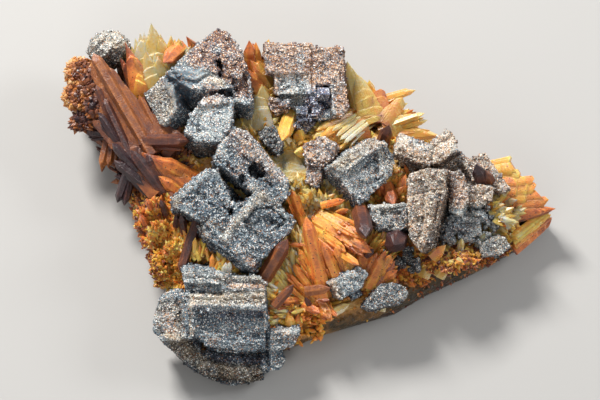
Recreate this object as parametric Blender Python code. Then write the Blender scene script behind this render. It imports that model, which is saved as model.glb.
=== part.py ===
"""Skeletal galena with quartz, a hand specimen about ten centimetres wide, as closed solids.

Drusy, hollow-faced cubes of galena sit among sprays of iron-stained quartz on a slab of quartz
matrix that is sawn flat underneath. Each crystal, or group of crystals grown into one another,
is a body of its own that stands in a socket of the matrix with a thin gap round it.

Sizes below are millimetres on the specimen. A finished body is written out in metres, +Z up.
"""
import math

import bmesh
import bpy
import numpy as np
from mathutils import Vector

# Driving dimensions
MM = 0.001                      # a finished body's metres per millimetre
GAP = 0.34                      # room round a body where it stands in its neighbour
MATRIX_EDGE = 9.0               # height of the slab at its rim
MATRIX_CROWN = 11.5             # height of the slab away from its rim
MATRIX_BELLY = 0.7              # how far the rim bulges between the base and the top
MATRIX_RINGS = (0.93, 0.72, 0.42)
FLAT_ANGLE = math.radians(0.8)  # faces closer in angle than this are made one
STAGGER = 0.06                  # step between the feet of one crystal's slabs, so none are level
TIP_SHARE = 0.85                # length of a quartz point over the crystal's width

# Crystals are set out as they are seen: a picture point in a frame 600 wide, and a height.
PIXEL = 0.2                     # millimetres on the specimen for a picture point
PICTURE_MIDDLE = (300.0, 200.0)
VIEW_ELEVATION = math.radians(65.0)
VIEW_DISTANCE = 666.7
AIM = Vector((0.0, 0.0, 12.0))

TO_RIGHT = Vector((1.0, 0.0, 0.0))
TO_TOP = Vector((0.0, math.sin(VIEW_ELEVATION), math.cos(VIEW_ELEVATION)))
TO_EYE = Vector((0.0, -math.cos(VIEW_ELEVATION), math.sin(VIEW_ELEVATION)))
EYE = AIM + TO_EYE * VIEW_DISTANCE

# Colour, roughness and metallic value of each kind of surface
FINISHES = {
    "galena_grey": ((0.17, 0.18, 0.20), 0.50, 0.55),
    "galena_blue": ((0.12, 0.15, 0.20), 0.42, 0.65),
    "galena_rosy": ((0.34, 0.27, 0.26), 0.60, 0.25),
    "galena_green": ((0.30, 0.31, 0.24), 0.60, 0.20),
    "quartz_brown": ((0.36, 0.16, 0.08), 0.45, 0.0),
    "quartz_orange": ((0.62, 0.27, 0.07), 0.30, 0.0),
    "quartz_pale": ((0.66, 0.61, 0.42), 0.22, 0.0),
    "quartz_purple": ((0.22, 0.11, 0.12), 0.50, 0.1),
    "matrix_ochre": ((0.50, 0.31, 0.12), 0.45, 0.0),
}


def lean_normal(right, up):
    """Way a face points when it is turned from the eye, in degrees to the right and up."""
    way = TO_EYE + TO_RIGHT * math.tan(math.radians(right)) + TO_TOP * math.tan(math.radians(up))
    return way.normalized()


def sight(seen):
    """Line of sight through a picture point, as a vector from the eye."""
    right = (seen[0] - PICTURE_MIDDLE[0]) * PIXEL
    top = (PICTURE_MIDDLE[1] - seen[1]) * PIXEL
    return AIM + TO_RIGHT * right + TO_TOP * top - EYE


def on_plane(seen, point, normal):
    """Place where the line of sight meets a plane."""
    line = sight(seen)
    return EYE + line * ((point - EYE).dot(normal) / line.dot(normal))


def spot(seen, height):
    """Place on the specimen that is seen at a picture point, at a height over the base."""
    return on_plane(seen, Vector((0.0, 0.0, height)), Vector((0.0, 0.0, 1.0)))


def offset_outline(corners, normal, room):
    """Corners of a flat outline after each side is moved outwards by room."""
    middle = sum(corners, Vector()) / len(corners)
    outwards = []
    for here, after in zip(corners, corners[1:] + corners[:1]):
        side = (after - here).cross(normal).normalized()
        outwards.append(side if side.dot(here - middle) > 0.0 else -side)
    moved = []
    for place, corner in enumerate(corners):
        before, after = outwards[place - 1], outwards[place]
        moved.append(corner + (before + after) * (room / max(1.0 + before.dot(after), 0.5)))
    return moved


def slab_points(face, corners, top, foot, room):
    """Corners of a right prism on a crystal face, from top down to foot along its normal."""
    origin, normal = face
    flat = [on_plane(corner, origin, normal) for corner in corners]
    if room:
        flat = offset_outline(flat, normal, room)
    upper = [corner + normal * (top + room) for corner in flat]
    lower = [corner + normal * (foot - room) for corner in flat]
    return upper + lower


def prism_points(root, tip, width, flat, roll, share, room):
    """Corners of a six-sided quartz crystal; flat squeezes it, share sets how long its tip is."""
    axis = (tip - root).normalized()
    across = axis.cross(TO_EYE).normalized()
    upright = across.cross(axis)
    point = min(width * share, (tip - root).length * 0.6)
    shoulder = tip - axis * point
    points = [tip + axis * room]
    for corner in range(6):
        turn = math.radians(60.0 * corner + roll)
        out = across * math.cos(turn) * (width * 0.5 + room)
        out += upright * math.sin(turn) * (width * 0.5 * flat + room)
        points.append(root - axis * room + out)
        points.append(shoulder + out)
    return points


def lump_points(middle, size, count, seed, room):
    """Points spread evenly over an egg shape and shaken a little, for a rounded lump."""
    shake = np.random.RandomState(seed)
    golden = math.pi * (3.0 - math.sqrt(5.0))
    points = []
    for place in range(count):
        level = 1.0 - 2.0 * (place + 0.5) / count
        ring = math.sqrt(1.0 - level * level)
        turn = golden * place
        way = Vector((ring * math.cos(turn), ring * math.sin(turn), level))
        reach = 1.0 + shake.uniform(-0.08, 0.08)
        points.append(middle + Vector([way[i] * (size[i] * reach + room) for i in range(3)]))
    return points


class Crystal:
    """One galena crystal: a face seen at a picture point, with slabs on it and pits in it."""

    def __init__(self, seen, height, lean, slabs, pits=()):
        self.normal = lean_normal(*lean)
        self.face = (spot(seen, height), self.normal)
        self.slabs = slabs
        self.pits = pits

    def solids(self, room=0.0):
        return [slab_points(self.face, corners, top, foot - STAGGER * place, room)
                for place, (corners, top, foot) in enumerate(self.slabs)]

    def hollows(self):
        return [slab_points(self.face, corners, top + STAGGER * place, foot, 0.0)
                for place, (corners, top, foot) in enumerate(self.pits)]


class Lump:
    """A rounded mass: its middle as seen, the height of the middle, and its half sizes."""

    def __init__(self, seen, height, size, seed, count=28):
        self.middle = spot(seen, height)
        self.size = size
        self.seed = seed
        self.count = count

    def solids(self, room=0.0):
        return [lump_points(self.middle, self.size, self.count, self.seed, room)]

    def hollows(self):
        return []


class Spray:
    """Quartz crystals that share a root: root, its height, tip, its height, width, flatness."""

    def __init__(self, prisms, depth=4.0, spread=1.0, roll=0.0, share=TIP_SHARE):
        self.prisms = []
        for root, low, tip, high, width, flat in prisms:
            self.prisms.append((spot(root, low), spot(tip, high), width, flat, roll, share))
            roll += 17.0
        self.depth = depth
        self.spread = spread

    def solids(self, room=0.0):
        bodies = [prism_points(*prism, room) for prism in self.prisms]
        if len(self.prisms) > 1:
            bodies.append(self.root_points(room))
        return bodies

    def root_points(self, room):
        """Low mass that the crystals grow from, under all their roots."""
        reach = self.spread + room
        points = []
        for root, tip, width, flat, roll, share in self.prisms:
            start = root + (tip - root).normalized() * width * 0.3
            for right, back in ((-1, -1), (-1, 1), (1, -1), (1, 1)):
                aside = Vector((right * reach, back * reach, 0.0))
                points.append(start + aside + Vector((0.0, 0.0, room)))
                points.append(start + aside * 0.8 - Vector((0.0, 0.0, self.depth + room)))
        return points

    def hollows(self):
        return []


# Galena. A slab or pit is its outline as seen, its top and its foot along the face's normal.
GALENA_KNOB = [Lump((110, 50), 13.0, (4.8, 4.2, 5.0), seed=3)]

GALENA_UPPER = [
    Crystal((206, 62), 21.0, (-2, 30), slabs=[
        ([(165, 71), (192, 49), (217, 28), (227, 31), (240, 50), (247, 66), (238, 84),
          (209, 89), (190, 86)], -0.9, -11.0),
        ([(178, 60), (192, 49), (217, 28), (227, 31), (240, 50), (247, 66), (240, 80),
          (210, 71)], 0.0, -9.0),
        ([(170, 68), (180, 60), (210, 72), (192, 80)], -0.4, -9.0),
        ([(238, 50), (247, 65), (253, 93), (249, 101), (234, 96), (226, 80)], -1.6, -9.0),
    ], pits=[
        ([(216, 60), (221, 57), (224, 72), (219, 76)], 1.0, -2.2),
    ]),
    Crystal((157, 100), 17.5, (-26, 12), slabs=[
        ([(143, 94), (163, 76), (173, 84), (176, 110), (165, 126), (159, 124), (150, 106)],
         0.0, -7.0),
    ]),
    Crystal((210, 120), 20.5, (0, 22), slabs=[
        ([(203, 99), (216, 93), (235, 97), (230, 127), (222, 142), (196, 140), (184, 131),
          (190, 116)], 0.0, -9.5),
    ], pits=[
        ([(199, 106), (229, 103), (224, 134), (197, 131)], 1.0, -0.5),
    ]),
    Crystal((197, 168), 17.0, (-8, 8), slabs=[
        ([(190, 156), (212, 154), (209, 168), (196, 177), (183, 173)], 0.0, -5.0),
    ]),
]

GALENA_TOP = [
    Crystal((306, 80), 20.5, (0, 3), slabs=[
        ([(263, 43), (311, 43.5), (311, 73), (267, 73)], 0.0, -10.0),
        ([(275, 70), (311, 70), (311, 94), (275, 93)], 0.0, -10.0),
        ([(310, 47), (343.5, 47), (346, 93), (310, 93)], -0.35, -10.0),
        ([(331, 90), (346, 90), (348, 109), (342, 117), (333, 114)], -0.35, -8.0),
        ([(312, 111), (334, 107), (341, 117), (318, 119)], -1.6, -8.0),
        ([(279, 91), (311, 91), (309, 106), (296, 110), (280, 100)], -1.9, -9.0),
        ([(270, 98), (293, 96), (292, 104), (279, 113), (271, 108)], -2.6, -7.0),
        ([(297, 106), (312, 102), (315, 124), (304, 134), (295, 128)], -2.8, -9.0),
        ([(306, 88), (334, 88), (334, 114), (306, 114)], -4.8, -10.0),
    ], pits=[
        ([(311, 85), (329, 84), (332, 92), (330, 108), (313, 109)], 1.0, -5.2),
        ([(315, 98), (325, 97), (324, 107), (316, 108)], -4.0, -7.6),
    ]),
]

GALENA_CENTRE = [
    Crystal((240, 200), 21.0, (6, 8), slabs=[
        ([(221, 144), (235, 126), (247, 130), (288, 179), (289, 193), (281, 203), (258, 196),
          (214, 160)], -0.4, -10.0),
        ([(174, 197), (202, 171), (215, 169), (246, 196), (236, 206), (222, 231), (190, 213),
          (174, 207)], 0.0, -9.0),
        ([(234, 204), (258, 194), (275, 201), (294, 221), (292, 229), (270, 252), (251, 270),
          (237, 260), (203, 236), (202, 225)], 0.6, -9.0),
        ([(199, 226), (205, 240), (239, 266), (254, 273), (263, 262), (230, 226)], -1.1, -7.0),
    ], pits=[
        ([(216, 169), (222, 168), (248, 191), (246, 199), (234, 204), (230, 190)], 1.5, -5.0),
        ([(226, 210), (231, 208), (232, 214), (226, 216)], 1.5, -2.5),
        ([(249, 165), (256, 157), (266, 166), (268, 176), (258, 180), (249, 176)], 1.5, -3.6),
        ([(237, 178), (244, 174), (247, 181), (240, 185)], 1.5, -3.2),
        ([(243, 222), (256, 206), (272, 206), (288, 222), (262, 240), (246, 236)], 1.5, -0.7),
        ([(250, 223), (259, 211), (272, 213), (281, 222), (264, 234)], 1.5, -1.6),
        ([(269, 217), (276, 218), (276, 226), (270, 226)], 1.5, -3.4),
    ]),
]

GALENA_DIAMOND = [
    Crystal((272, 142), 17.5, (2, 5), slabs=[
        ([(260, 134), (265, 127), (276, 127), (284, 144), (278, 157), (264, 143)], 0.0, -6.0),
    ]),
]

GALENA_MIDDLE = [
    Crystal((319, 160), 18.0, (-4, 10), slabs=[
        ([(304, 143), (321, 137), (336, 143), (335, 158), (322, 167), (306, 164)], 0.0, -7.0),
        ([(305, 158), (323, 160), (321, 179), (315, 188), (306, 181)], -1.0, -7.0),
    ]),
]

GALENA_RIGHT_CUBE = [
    Crystal((362, 170), 20.0, (13, 6), slabs=[
        ([(329, 166), (356, 148), (370, 138), (386, 143), (395, 158), (392, 175), (374, 186),
          (361, 204)], -0.8, -10.0),
        ([(329, 166), (356, 148), (370, 138), (386, 143), (372, 151), (344, 172)], 0.0, -6.0),
        ([(386, 143), (395, 158), (392, 175), (380, 182), (378, 150)], -0.3, -6.0),
    ]),
]

GALENA_RIGHT_GROUP = [
    Crystal((412, 150), 19.0, (4, 22), slabs=[
        ([(399, 132), (431, 144), (430, 166), (394, 153)], 0.0, -3.0),
        ([(403, 140), (428, 147), (426, 160), (402, 154)], -2.5, -9.0),
    ]),
    Crystal((444, 147), 18.5, (-6, 18), slabs=[
        ([(446, 129), (452, 132), (458, 150), (439, 163), (430, 164), (429, 145), (437, 137)],
         0.0, -3.5),
        ([(432, 144), (450, 138), (452, 152), (436, 158)], -3.0, -9.0),
    ]),
    Crystal((428, 208), 19.5, (-13, 4), slabs=[
        ([(409, 174), (428, 168), (447, 170), (446, 192), (440, 210), (430, 247), (421, 253),
          (409, 238), (407, 196)], 0.0, -8.5),
        ([(418, 212), (440, 198), (431, 242), (422, 249)], 0.7, -4.0),
    ]),
    Crystal((458, 194), 19.0, (-8, 6), slabs=[
        ([(450, 173), (459, 171), (466, 184), (468, 198), (461, 216), (449, 211)], 0.0, -8.5),
    ]),
    Crystal((481, 196), 16.5, (6, 10), slabs=[
        ([(464, 190), (480, 184), (494, 187), (492, 200), (480, 208), (464, 204)], 0.0, -6.0),
    ]),
    Crystal((486, 168), 16.0, (8, 15), slabs=[
        ([(462, 161), (485, 153), (494, 166), (510, 188), (502, 192), (476, 184)], 0.0, -6.0),
    ]),
    Crystal((462, 228), 13.5, (0, 10), slabs=[
        ([(442, 220), (457, 212), (462, 226), (448, 242)], 0.0, -4.0),
        ([(462, 222), (478, 214), (482, 232), (466, 240)], -0.8, -4.0),
    ]),
    Crystal((450, 190), 13.6, (0, 20), slabs=[
        ([(402, 148), (452, 146), (494, 176), (484, 200), (460, 228), (424, 232)], 0.0, -3.4),
    ]),
]

GALENA_LOWER_RIGHT = [
    Crystal((393, 216), 17.0, (2, 14), slabs=[
        ([(371, 205), (389, 204), (404, 203), (416, 212), (413, 224), (398, 232), (380, 229),
          (370, 216)], 0.0, -7.0),
    ], pits=[
        ([(379, 212), (402, 210), (404, 221), (385, 225)], 1.0, -0.9),
    ]),
]

GALENA_BOX = [
    Crystal((348, 284), 14.5, (12, -3), slabs=[
        ([(330, 283), (361, 266.5), (368, 274.5), (363.5, 287), (340.5, 300)], 0.0, -6.0),
        ([(351, 290), (362, 286), (366, 296), (357, 301)], -3.0, -6.5),
    ]),
]

GALENA_DARK_CRUST = [
    Crystal((384, 297), 11.8, (2, 6), slabs=[
        ([(362, 306), (370, 296), (381, 283), (395, 283), (407, 287), (406, 297), (398, 305),
          (370, 310)], 0.0, -4.0),
    ]),
]

GALENA_EDGE_CRUST = [
    Crystal((495, 247), 11.2, (4, 4), slabs=[
        ([(479, 246), (490, 238), (505, 237), (511, 247), (500, 255), (482, 257)], 0.0, -3.5),
    ]),
]

GALENA_FRONT = [
    Crystal((228, 328), 12.6, (0, -13), slabs=[
        ([(190, 304), (266, 307), (268, 325), (266, 349), (234, 353), (219, 353), (207, 346),
          (198, 338), (190, 335)], 0.0, -11.0),
        ([(200, 340), (264, 346), (263, 354), (234, 357), (208, 352)], -1.6, -8.0),
        ([(203, 346), (264, 350), (263, 362), (234, 363), (208, 358)], -3.0, -8.0),
    ], pits=[
        ([(196, 314), (262, 312), (262, 338), (232, 343), (200, 333)], 1.0, -0.4),
    ]),
    Crystal((202, 276), 17.0, (0, -6), slabs=[
        ([(182, 269), (212, 269), (223, 274), (223, 284), (184, 283)], 0.0, -8.0),
        ([(183, 281), (223, 282), (222, 294), (186, 293)], -1.3, -8.0),
    ]),
    Crystal((243, 288), 15.6, (0, 2), slabs=[
        ([(220, 274), (258, 277), (265, 284), (266, 304), (222, 304)], 0.0, -8.0),
    ]),
    Crystal((206, 298), 14.8, (0, 22), slabs=[
        ([(186, 288), (224, 286), (224, 307), (190, 306)], 0.0, -8.0),
    ]),
    Crystal((168, 315), 12.4, (-18, 10), slabs=[
        ([(178, 288), (166, 293), (159, 299), (155, 311), (152, 331), (163, 341), (192, 338),
          (192, 305)], 0.0, -6.0),
    ]),
    Crystal((180, 346), 7.2, (3, 4), slabs=[
        ([(160, 338), (190, 330), (202, 344), (200, 355), (188, 360), (170, 348)], 0.0, -4.6),
    ]),
    Crystal((225, 368), 5.2, (0, 4), slabs=[
        ([(172, 350), (200, 354), (236, 362), (266, 360), (269, 372), (240, 379), (210, 375),
          (188, 366)], 0.0, -3.0),
    ]),
    Crystal((228, 377), 3.4, (0, 4), slabs=[
        ([(188, 362), (215, 366), (264, 368), (264, 380), (231, 385), (212, 380), (193, 370)],
         0.0, -2.2),
    ]),
    Crystal((284, 339), 10.6, (3, -12), slabs=[
        ([(264, 331), (300, 331), (296, 345), (292, 349), (264, 350)], 0.0, -7.0),
    ]),
    Crystal((276, 360), 7.4, (3, -4), slabs=[
        ([(262, 347), (282, 350), (285, 361), (279, 370), (262, 370)], 0.0, -5.0),
    ]),
]

# Quartz. Each crystal is its root and tip as seen, their heights, its width and flatness.
QUARTZ_LEFT_FAN = [
    Spray([
        ((150, 148), 15.5, (93, 52), 21.0, 3.4, 1.0),
        ((136, 90), 13.0, (125, 40), 19.0, 7.2, 0.6),
        ((158, 134), 15.0, (139, 95), 18.0, 1.6, 1.0),
        ((140, 141), 15.5, (190, 141), 18.0, 3.0, 1.0),
        ((130, 160), 12.5, (98, 112), 16.5, 2.0, 1.0),
        ((122, 145), 13.5, (85, 65), 18.5, 2.6, 1.0),
        ((150, 130), 15.0, (118, 75), 19.5, 2.2, 1.0),
        ((160, 187), 12.0, (131, 150), 16.5, 2.4, 1.0),
        ((152, 190), 11.0, (114, 160), 14.5, 2.4, 1.0),
        ((112, 124), 11.5, (72, 122), 13.0, 3.2, 0.9),
        ((106, 108), 12.0, (67, 108), 14.0, 4.2, 0.8),
        ((106, 98), 12.0, (62, 88), 14.0, 4.8, 0.8),
        ((100, 86), 12.5, (66, 64), 15.5, 5.0, 0.8),
        ((108, 140), 10.5, (106, 172), 9.0, 2.6, 1.0),
        ((128, 176), 10.0, (122, 206), 8.0, 2.4, 1.0),
    ], depth=3.5, share=0.4),
    Lump((86, 76), 11.5, (4.2, 4.6, 4.8), seed=5, count=18),
]

QUARTZ_ORANGE_WEDGES = [
    Spray([
        ((192, 190), 11.5, (141, 152), 16.0, 5.0, 0.55),
        ((190, 178), 12.0, (152, 158), 17.0, 4.0, 0.6),
    ], depth=2.5, roll=30.0),
]

QUARTZ_BROWN_ROD = [Spray([((201, 211), 16.5, (180, 272), 13.5, 2.2, 1.0)])]

QUARTZ_PALE_FAN = [
    Spray([
        ((158, 80), 12.0, (151, 23), 20.0, 8.6, 0.45),
        ((170, 78), 12.0, (174, 34), 18.5, 4.4, 0.6),
        ((174, 78), 12.0, (190, 44), 17.5, 5.0, 0.6),
        ((148, 78), 12.0, (134, 36), 16.0, 6.4, 0.6),
        ((178, 50), 16.0, (163, 63), 20.5, 3.4, 1.0),
        ((200, 54), 14.0, (186, 36), 18.0, 2.8, 1.0),
    ], depth=3.0),
]

QUARTZ_GAP_PRISMS = [
    Spray([
        ((252, 82), 12.5, (248, 39), 18.5, 3.8, 0.8),
        ((262, 78), 12.5, (269, 39), 17.5, 2.6, 1.0),
        ((262, 92), 13.0, (238, 66), 20.0, 3.2, 1.0),
        ((258, 108), 13.0, (266, 84), 17.0, 4.4, 0.8),
        ((254, 124), 12.5, (268, 104), 16.5, 4.0, 0.8),
    ], depth=2.5),
]

QUARTZ_SHORT_PRISMS = [
    Spray([
        ((290, 118), 14.5, (282, 141), 19.0, 3.2, 1.0),
        ((306, 152), 14.0, (294, 153), 17.0, 2.6, 1.0),
        ((300, 138), 13.0, (300, 128), 16.0, 3.0, 1.0),
    ], depth=2.5),
]

QUARTZ_PALE_BLADES = [
    Spray([
        ((360, 116), 12.0, (345, 59), 17.0, 3.8, 0.7),
        ((368, 112), 12.0, (353, 76), 16.0, 3.6, 0.7),
        ((366, 108), 13.0, (416, 92), 15.0, 2.8, 0.9),
        ((376, 112), 12.0, (400, 98), 13.5, 3.4, 0.7),
        ((376, 116), 12.0, (409, 108), 14.0, 3.0, 0.8),
        ((384, 130), 13.0, (424, 113), 15.5, 2.4, 1.0),
        ((390, 132), 12.0, (440, 136), 13.0, 3.6, 0.8),
        ((372, 122), 13.0, (334, 144), 17.5, 3.0, 0.8),
        ((366, 116), 13.0, (316, 140), 16.5, 3.2, 0.8),
    ], depth=2.5, share=0.5),
]

QUARTZ_SPRAY = [
    Spray([
        ((322, 290), 11.0, (306, 216), 21.5, 2.4, 0.9),
        ((340, 286), 11.0, (321, 241), 17.5, 2.4, 0.9),
        ((352, 274), 11.5, (334, 246), 16.5, 2.4, 0.9),
        ((316, 296), 10.5, (293, 264), 14.5, 1.8, 1.0),
        ((314, 300), 10.0, (285, 272), 13.0, 1.6, 1.0),
        ((318, 288), 11.0, (298, 248), 15.5, 1.6, 1.0),
        ((370, 282), 10.5, (386, 250), 15.5, 3.4, 0.7),
        ((362, 280), 10.5, (363, 248), 15.0, 3.0, 0.7),
        ((318, 300), 10.0, (332, 321), 11.0, 2.8, 0.7),
        ((300, 300), 9.5, (275, 303), 12.0, 2.0, 1.0),
    ], depth=2.5),
]

QUARTZ_CROSS_BLADES = [
    Spray([
        ((320, 222), 13.5, (372, 253), 18.0, 3.0, 0.7),
        ((324, 216), 13.5, (364, 238), 18.5, 2.8, 0.7),
        ((302, 222), 13.0, (291, 189), 19.0, 1.8, 1.0),
        ((318, 232), 13.0, (346, 252), 17.0, 2.4, 0.8),
    ], depth=2.5),
]

QUARTZ_RED_PRISM = [Spray([((262, 281), 12.5, (288, 239), 19.0, 3.2, 1.0)])]

QUARTZ_END_PLATES = [
    Spray([
        ((494, 206), 8.0, (508, 160), 12.5, 6.6, 0.4),
        ((500, 210), 8.0, (532, 178), 11.5, 6.8, 0.4),
        ((504, 216), 6.5, (556, 208), 8.5, 7.2, 0.4),
        ((506, 234), 5.0, (552, 216), 6.0, 4.6, 0.5),
    ], depth=2.5, spread=1.4, share=0.3),
]

QUARTZ_PURPLE_UPRIGHT = [Spray([((361, 214), 16.0, (366, 237), 22.0, 3.6, 1.0)])]
QUARTZ_PURPLE_STUB = [Spray([((397, 238), 12.5, (394, 245), 20.0, 4.8, 1.0)])]
QUARTZ_PURPLE_UPPER = [Spray([((382, 144), 12.5, (389, 125), 18.0, 2.8, 1.0)])]
QUARTZ_PURPLE_RIGHT = [
    Spray([
        ((483, 186), 14.0, (476, 164), 20.0, 2.8, 1.0),
        ((490, 184), 14.0, (485, 170), 18.0, 2.4, 1.0),
    ], depth=1.5, spread=0.3),
]
QUARTZ_POCKET = [
    Spray([
        ((388, 188), 13.5, (394, 207), 18.0, 3.2, 1.0),
        ((402, 192), 13.0, (406, 172), 17.0, 3.6, 0.8),
        ((380, 192), 13.0, (379, 182), 17.0, 2.4, 1.0),
    ], depth=2.0, spread=0.5),
]

# Small quartz crystals that are one with the matrix: where they stand, and which way they point
DRUSE_BANDS = [
    # from, to, how many, height of the root, picture direction they lean to, width
    ((136, 200), (174, 280), 6, 9.0, (-10, -4), 2.8),
    ((154, 204), (186, 280), 4, 11.0, (-8, -12), 2.6),
    ((190, 240), (232, 266), 3, 12.5, (4, 14), 2.6),
    ((296, 196), (330, 206), 3, 13.0, (-4, -14), 2.6),
    ((420, 260), (474, 256), 4, 10.0, (6, 8), 2.8),
    ((484, 210), (505, 226), 3, 10.5, (10, -8), 2.8),
]

# Rim of the matrix, right across and front to back
MATRIX_RIM = [
    (50.0, -0.4), (43.0, -6.4), (35.0, -11.0), (25.0, -16.0), (19.0, -19.8), (12.0, -22.0),
    (4.0, -24.6), (-5.0, -28.6), (-12.0, -30.0), (-20.0, -27.4), (-24.6, -21.4),
    (-25.6, -14.4), (-29.6, -7.4), (-32.4, 0.5), (-33.6, 7.0), (-36.6, 13.2), (-41.0, 18.0),
    (-44.6, 22.6), (-45.0, 27.3), (-41.0, 29.8), (-33.0, 32.2), (-22.0, 34.0), (-12.0, 32.6), (0.0, 31.6),
    (9.0, 29.0), (15.0, 23.8), (22.0, 20.3), (26.6, 15.9), (32.4, 11.6), (39.6, 8.6),
    (45.0, 5.3),
]
MATRIX_HEART = (-5.0, 8.0)

# Rises of the matrix: where they are seen, height of their top and their reach
MATRIX_RISES = [
    ((128, 118), 15.0, 8.0),
    ((235, 90), 15.0, 10.0),
    ((240, 190), 16.0, 10.0),
    ((330, 130), 14.0, 9.0),
    ((420, 180), 15.0, 11.0),
    ((345, 245), 12.5, 9.0),
    ((230, 300), 12.5, 8.0),
]


def matrix_height(x, y):
    """Height of the matrix's top: a level crown with a rounded rise at each crystal group."""
    height = MATRIX_CROWN
    for seen, top, reach in MATRIX_RISES:
        middle = spot(seen, top)
        away = math.hypot(x - middle.x, y - middle.y) / reach
        height = max(height, MATRIX_CROWN + (top - MATRIX_CROWN) * math.exp(-away * away))
    return height


def matrix_body():
    """Slab with a flat base: rings of the rim's shape, drawn in and raised to the top."""
    body = bmesh.new()
    heart = Vector((MATRIX_HEART[0], MATRIX_HEART[1], 0.0))
    rim = [Vector((x, y, 0.0)) for x, y in MATRIX_RIM]
    rings = [[body.verts.new(corner) for corner in rim]]
    belly = []
    for corner in rim:
        out = (corner - heart).normalized() * MATRIX_BELLY
        belly.append(body.verts.new(corner + out + Vector((0.0, 0.0, MATRIX_EDGE * 0.5))))
    rings.append(belly)
    for share in MATRIX_RINGS:
        ring = []
        for corner in rim:
            place = heart + (corner - heart) * share
            top = matrix_height(place.x, place.y)
            if share == MATRIX_RINGS[0]:
                top = MATRIX_EDGE
            ring.append(body.verts.new((place.x, place.y, top)))
        rings.append(ring)
    count = len(rim)
    for lower, upper in zip(rings, rings[1:]):
        for here in range(count):
            after = (here + 1) % count
            body.faces.new((lower[here], lower[after], upper[after], upper[here]))
    summit = body.verts.new((heart.x, heart.y, matrix_height(heart.x, heart.y)))
    for here in range(count):
        body.faces.new((rings[-1][here], rings[-1][(here + 1) % count], summit))
    body.faces.new(rings[0])
    bmesh.ops.recalc_face_normals(body, faces=body.faces)
    bmesh.ops.triangulate(body, faces=body.faces)
    return to_mesh(body, "matrix_slab")


def druse_solids():
    """Corner points of each small quartz crystal along the druse bands."""
    shake = np.random.RandomState(11)
    bodies = []
    for start, end, count, low, way, width in DRUSE_BANDS:
        for place in range(count):
            share = (place + 0.5) / count
            seen = (start[0] + (end[0] - start[0]) * share + shake.uniform(-3, 3),
                    start[1] + (end[1] - start[1]) * share + shake.uniform(-3, 3))
            tip = (seen[0] + way[0] + shake.uniform(-6, 6), seen[1] + way[1] + shake.uniform(-6, 6))
            size = width * shake.uniform(0.7, 1.25)
            root = spot(seen, low - 2.0)
            bodies.append(prism_points(root, spot(tip, low + shake.uniform(2.0, 4.0)), size,
                                       shake.uniform(0.6, 1.0), shake.uniform(0, 60),
                                       TIP_SHARE, 0.0))
    return bodies


def to_mesh(body, name):
    """Turn a bmesh into mesh data."""
    mesh = bpy.data.meshes.new(name)
    body.to_mesh(mesh)
    body.free()
    return mesh


def hull_mesh(points, name):
    """Smallest convex body round the points."""
    body = bmesh.new()
    verts = [body.verts.new(point) for point in points]
    made = bmesh.ops.convex_hull(body, input=verts)
    loose = {item for item in made["geom_interior"] + made["geom_unused"]
             if isinstance(item, bmesh.types.BMVert)}
    bmesh.ops.delete(body, geom=list(loose), context="VERTS")
    bmesh.ops.recalc_face_normals(body, faces=body.faces)
    return to_mesh(body, name)


def box_of(points):
    """Lowest and highest corners of a set of points."""
    low = [min(point[axis] for point in points) for axis in range(3)]
    high = [max(point[axis] for point in points) for axis in range(3)]
    return low, high


def boxes_meet(one, other):
    return all(one[0][axis] < other[1][axis] and other[0][axis] < one[1][axis]
               for axis in range(3))


def combine(mesh, hulls, operation):
    """Join the hulls to a mesh, or take them away from it, in one Boolean."""
    reach = box_of([vertex.co for vertex in mesh.vertices])
    near = [points for points in hulls
            if operation == "UNION" or boxes_meet(reach, box_of(points))]
    if not near:
        return mesh
    tools = bpy.data.collections.new("tools")
    bpy.context.scene.collection.children.link(tools)
    for points in near:
        tool = bpy.data.objects.new("tool", hull_mesh(points, "tool"))
        tool.hide_render = True
        tool.display_type = "WIRE"
        tools.objects.link(tool)
    carrier = bpy.data.objects.new("carrier", mesh)
    bpy.context.scene.collection.objects.link(carrier)
    step = carrier.modifiers.new("combine", "BOOLEAN")
    step.operation = operation
    step.operand_type = "COLLECTION"
    step.collection = tools
    step.solver = "EXACT"
    depsgraph = bpy.context.evaluated_depsgraph_get()
    result = bpy.data.meshes.new_from_object(carrier.evaluated_get(depsgraph))
    for item in list(tools.objects) + [carrier]:
        bpy.data.objects.remove(item)
    bpy.data.collections.remove(tools)
    return result


def largest_island(body):
    """Delete all but the island of faces that holds the most volume."""
    unseen = set(body.faces)
    best, best_volume = [], -1.0
    while unseen:
        island = []
        front = [unseen.pop()]
        while front:
            face = front.pop()
            island.append(face)
            for edge in face.edges:
                for other in edge.link_faces:
                    if other in unseen:
                        unseen.discard(other)
                        front.append(other)
        volume = 0.0
        for face in island:
            first = face.verts[0].co
            for here, after in zip(face.verts[1:], face.verts[2:]):
                volume += first.dot(here.co.cross(after.co))
        if volume > best_volume:
            best, best_volume = island, volume
    kept = set(best)
    bmesh.ops.delete(body, geom=[face for face in body.faces if face not in kept], context="FACES")
    bmesh.ops.delete(body, geom=[v for v in body.verts if not v.link_faces], context="VERTS")


def tidy_mesh(mesh, name):
    """Merge flat faces and hair-thin slivers, and keep the one body in metres."""
    body = bmesh.new()
    body.from_mesh(mesh)
    bmesh.ops.remove_doubles(body, verts=body.verts, dist=0.004)
    bmesh.ops.dissolve_degenerate(body, dist=0.004, edges=body.edges)
    largest_island(body)
    bmesh.ops.dissolve_limit(body, angle_limit=FLAT_ANGLE, verts=body.verts, edges=body.edges)
    bmesh.ops.triangulate(body, faces=body.faces)
    largest_island(body)
    bmesh.ops.scale(body, vec=(MM, MM, MM), verts=body.verts)
    return to_mesh(body, name)


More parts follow.
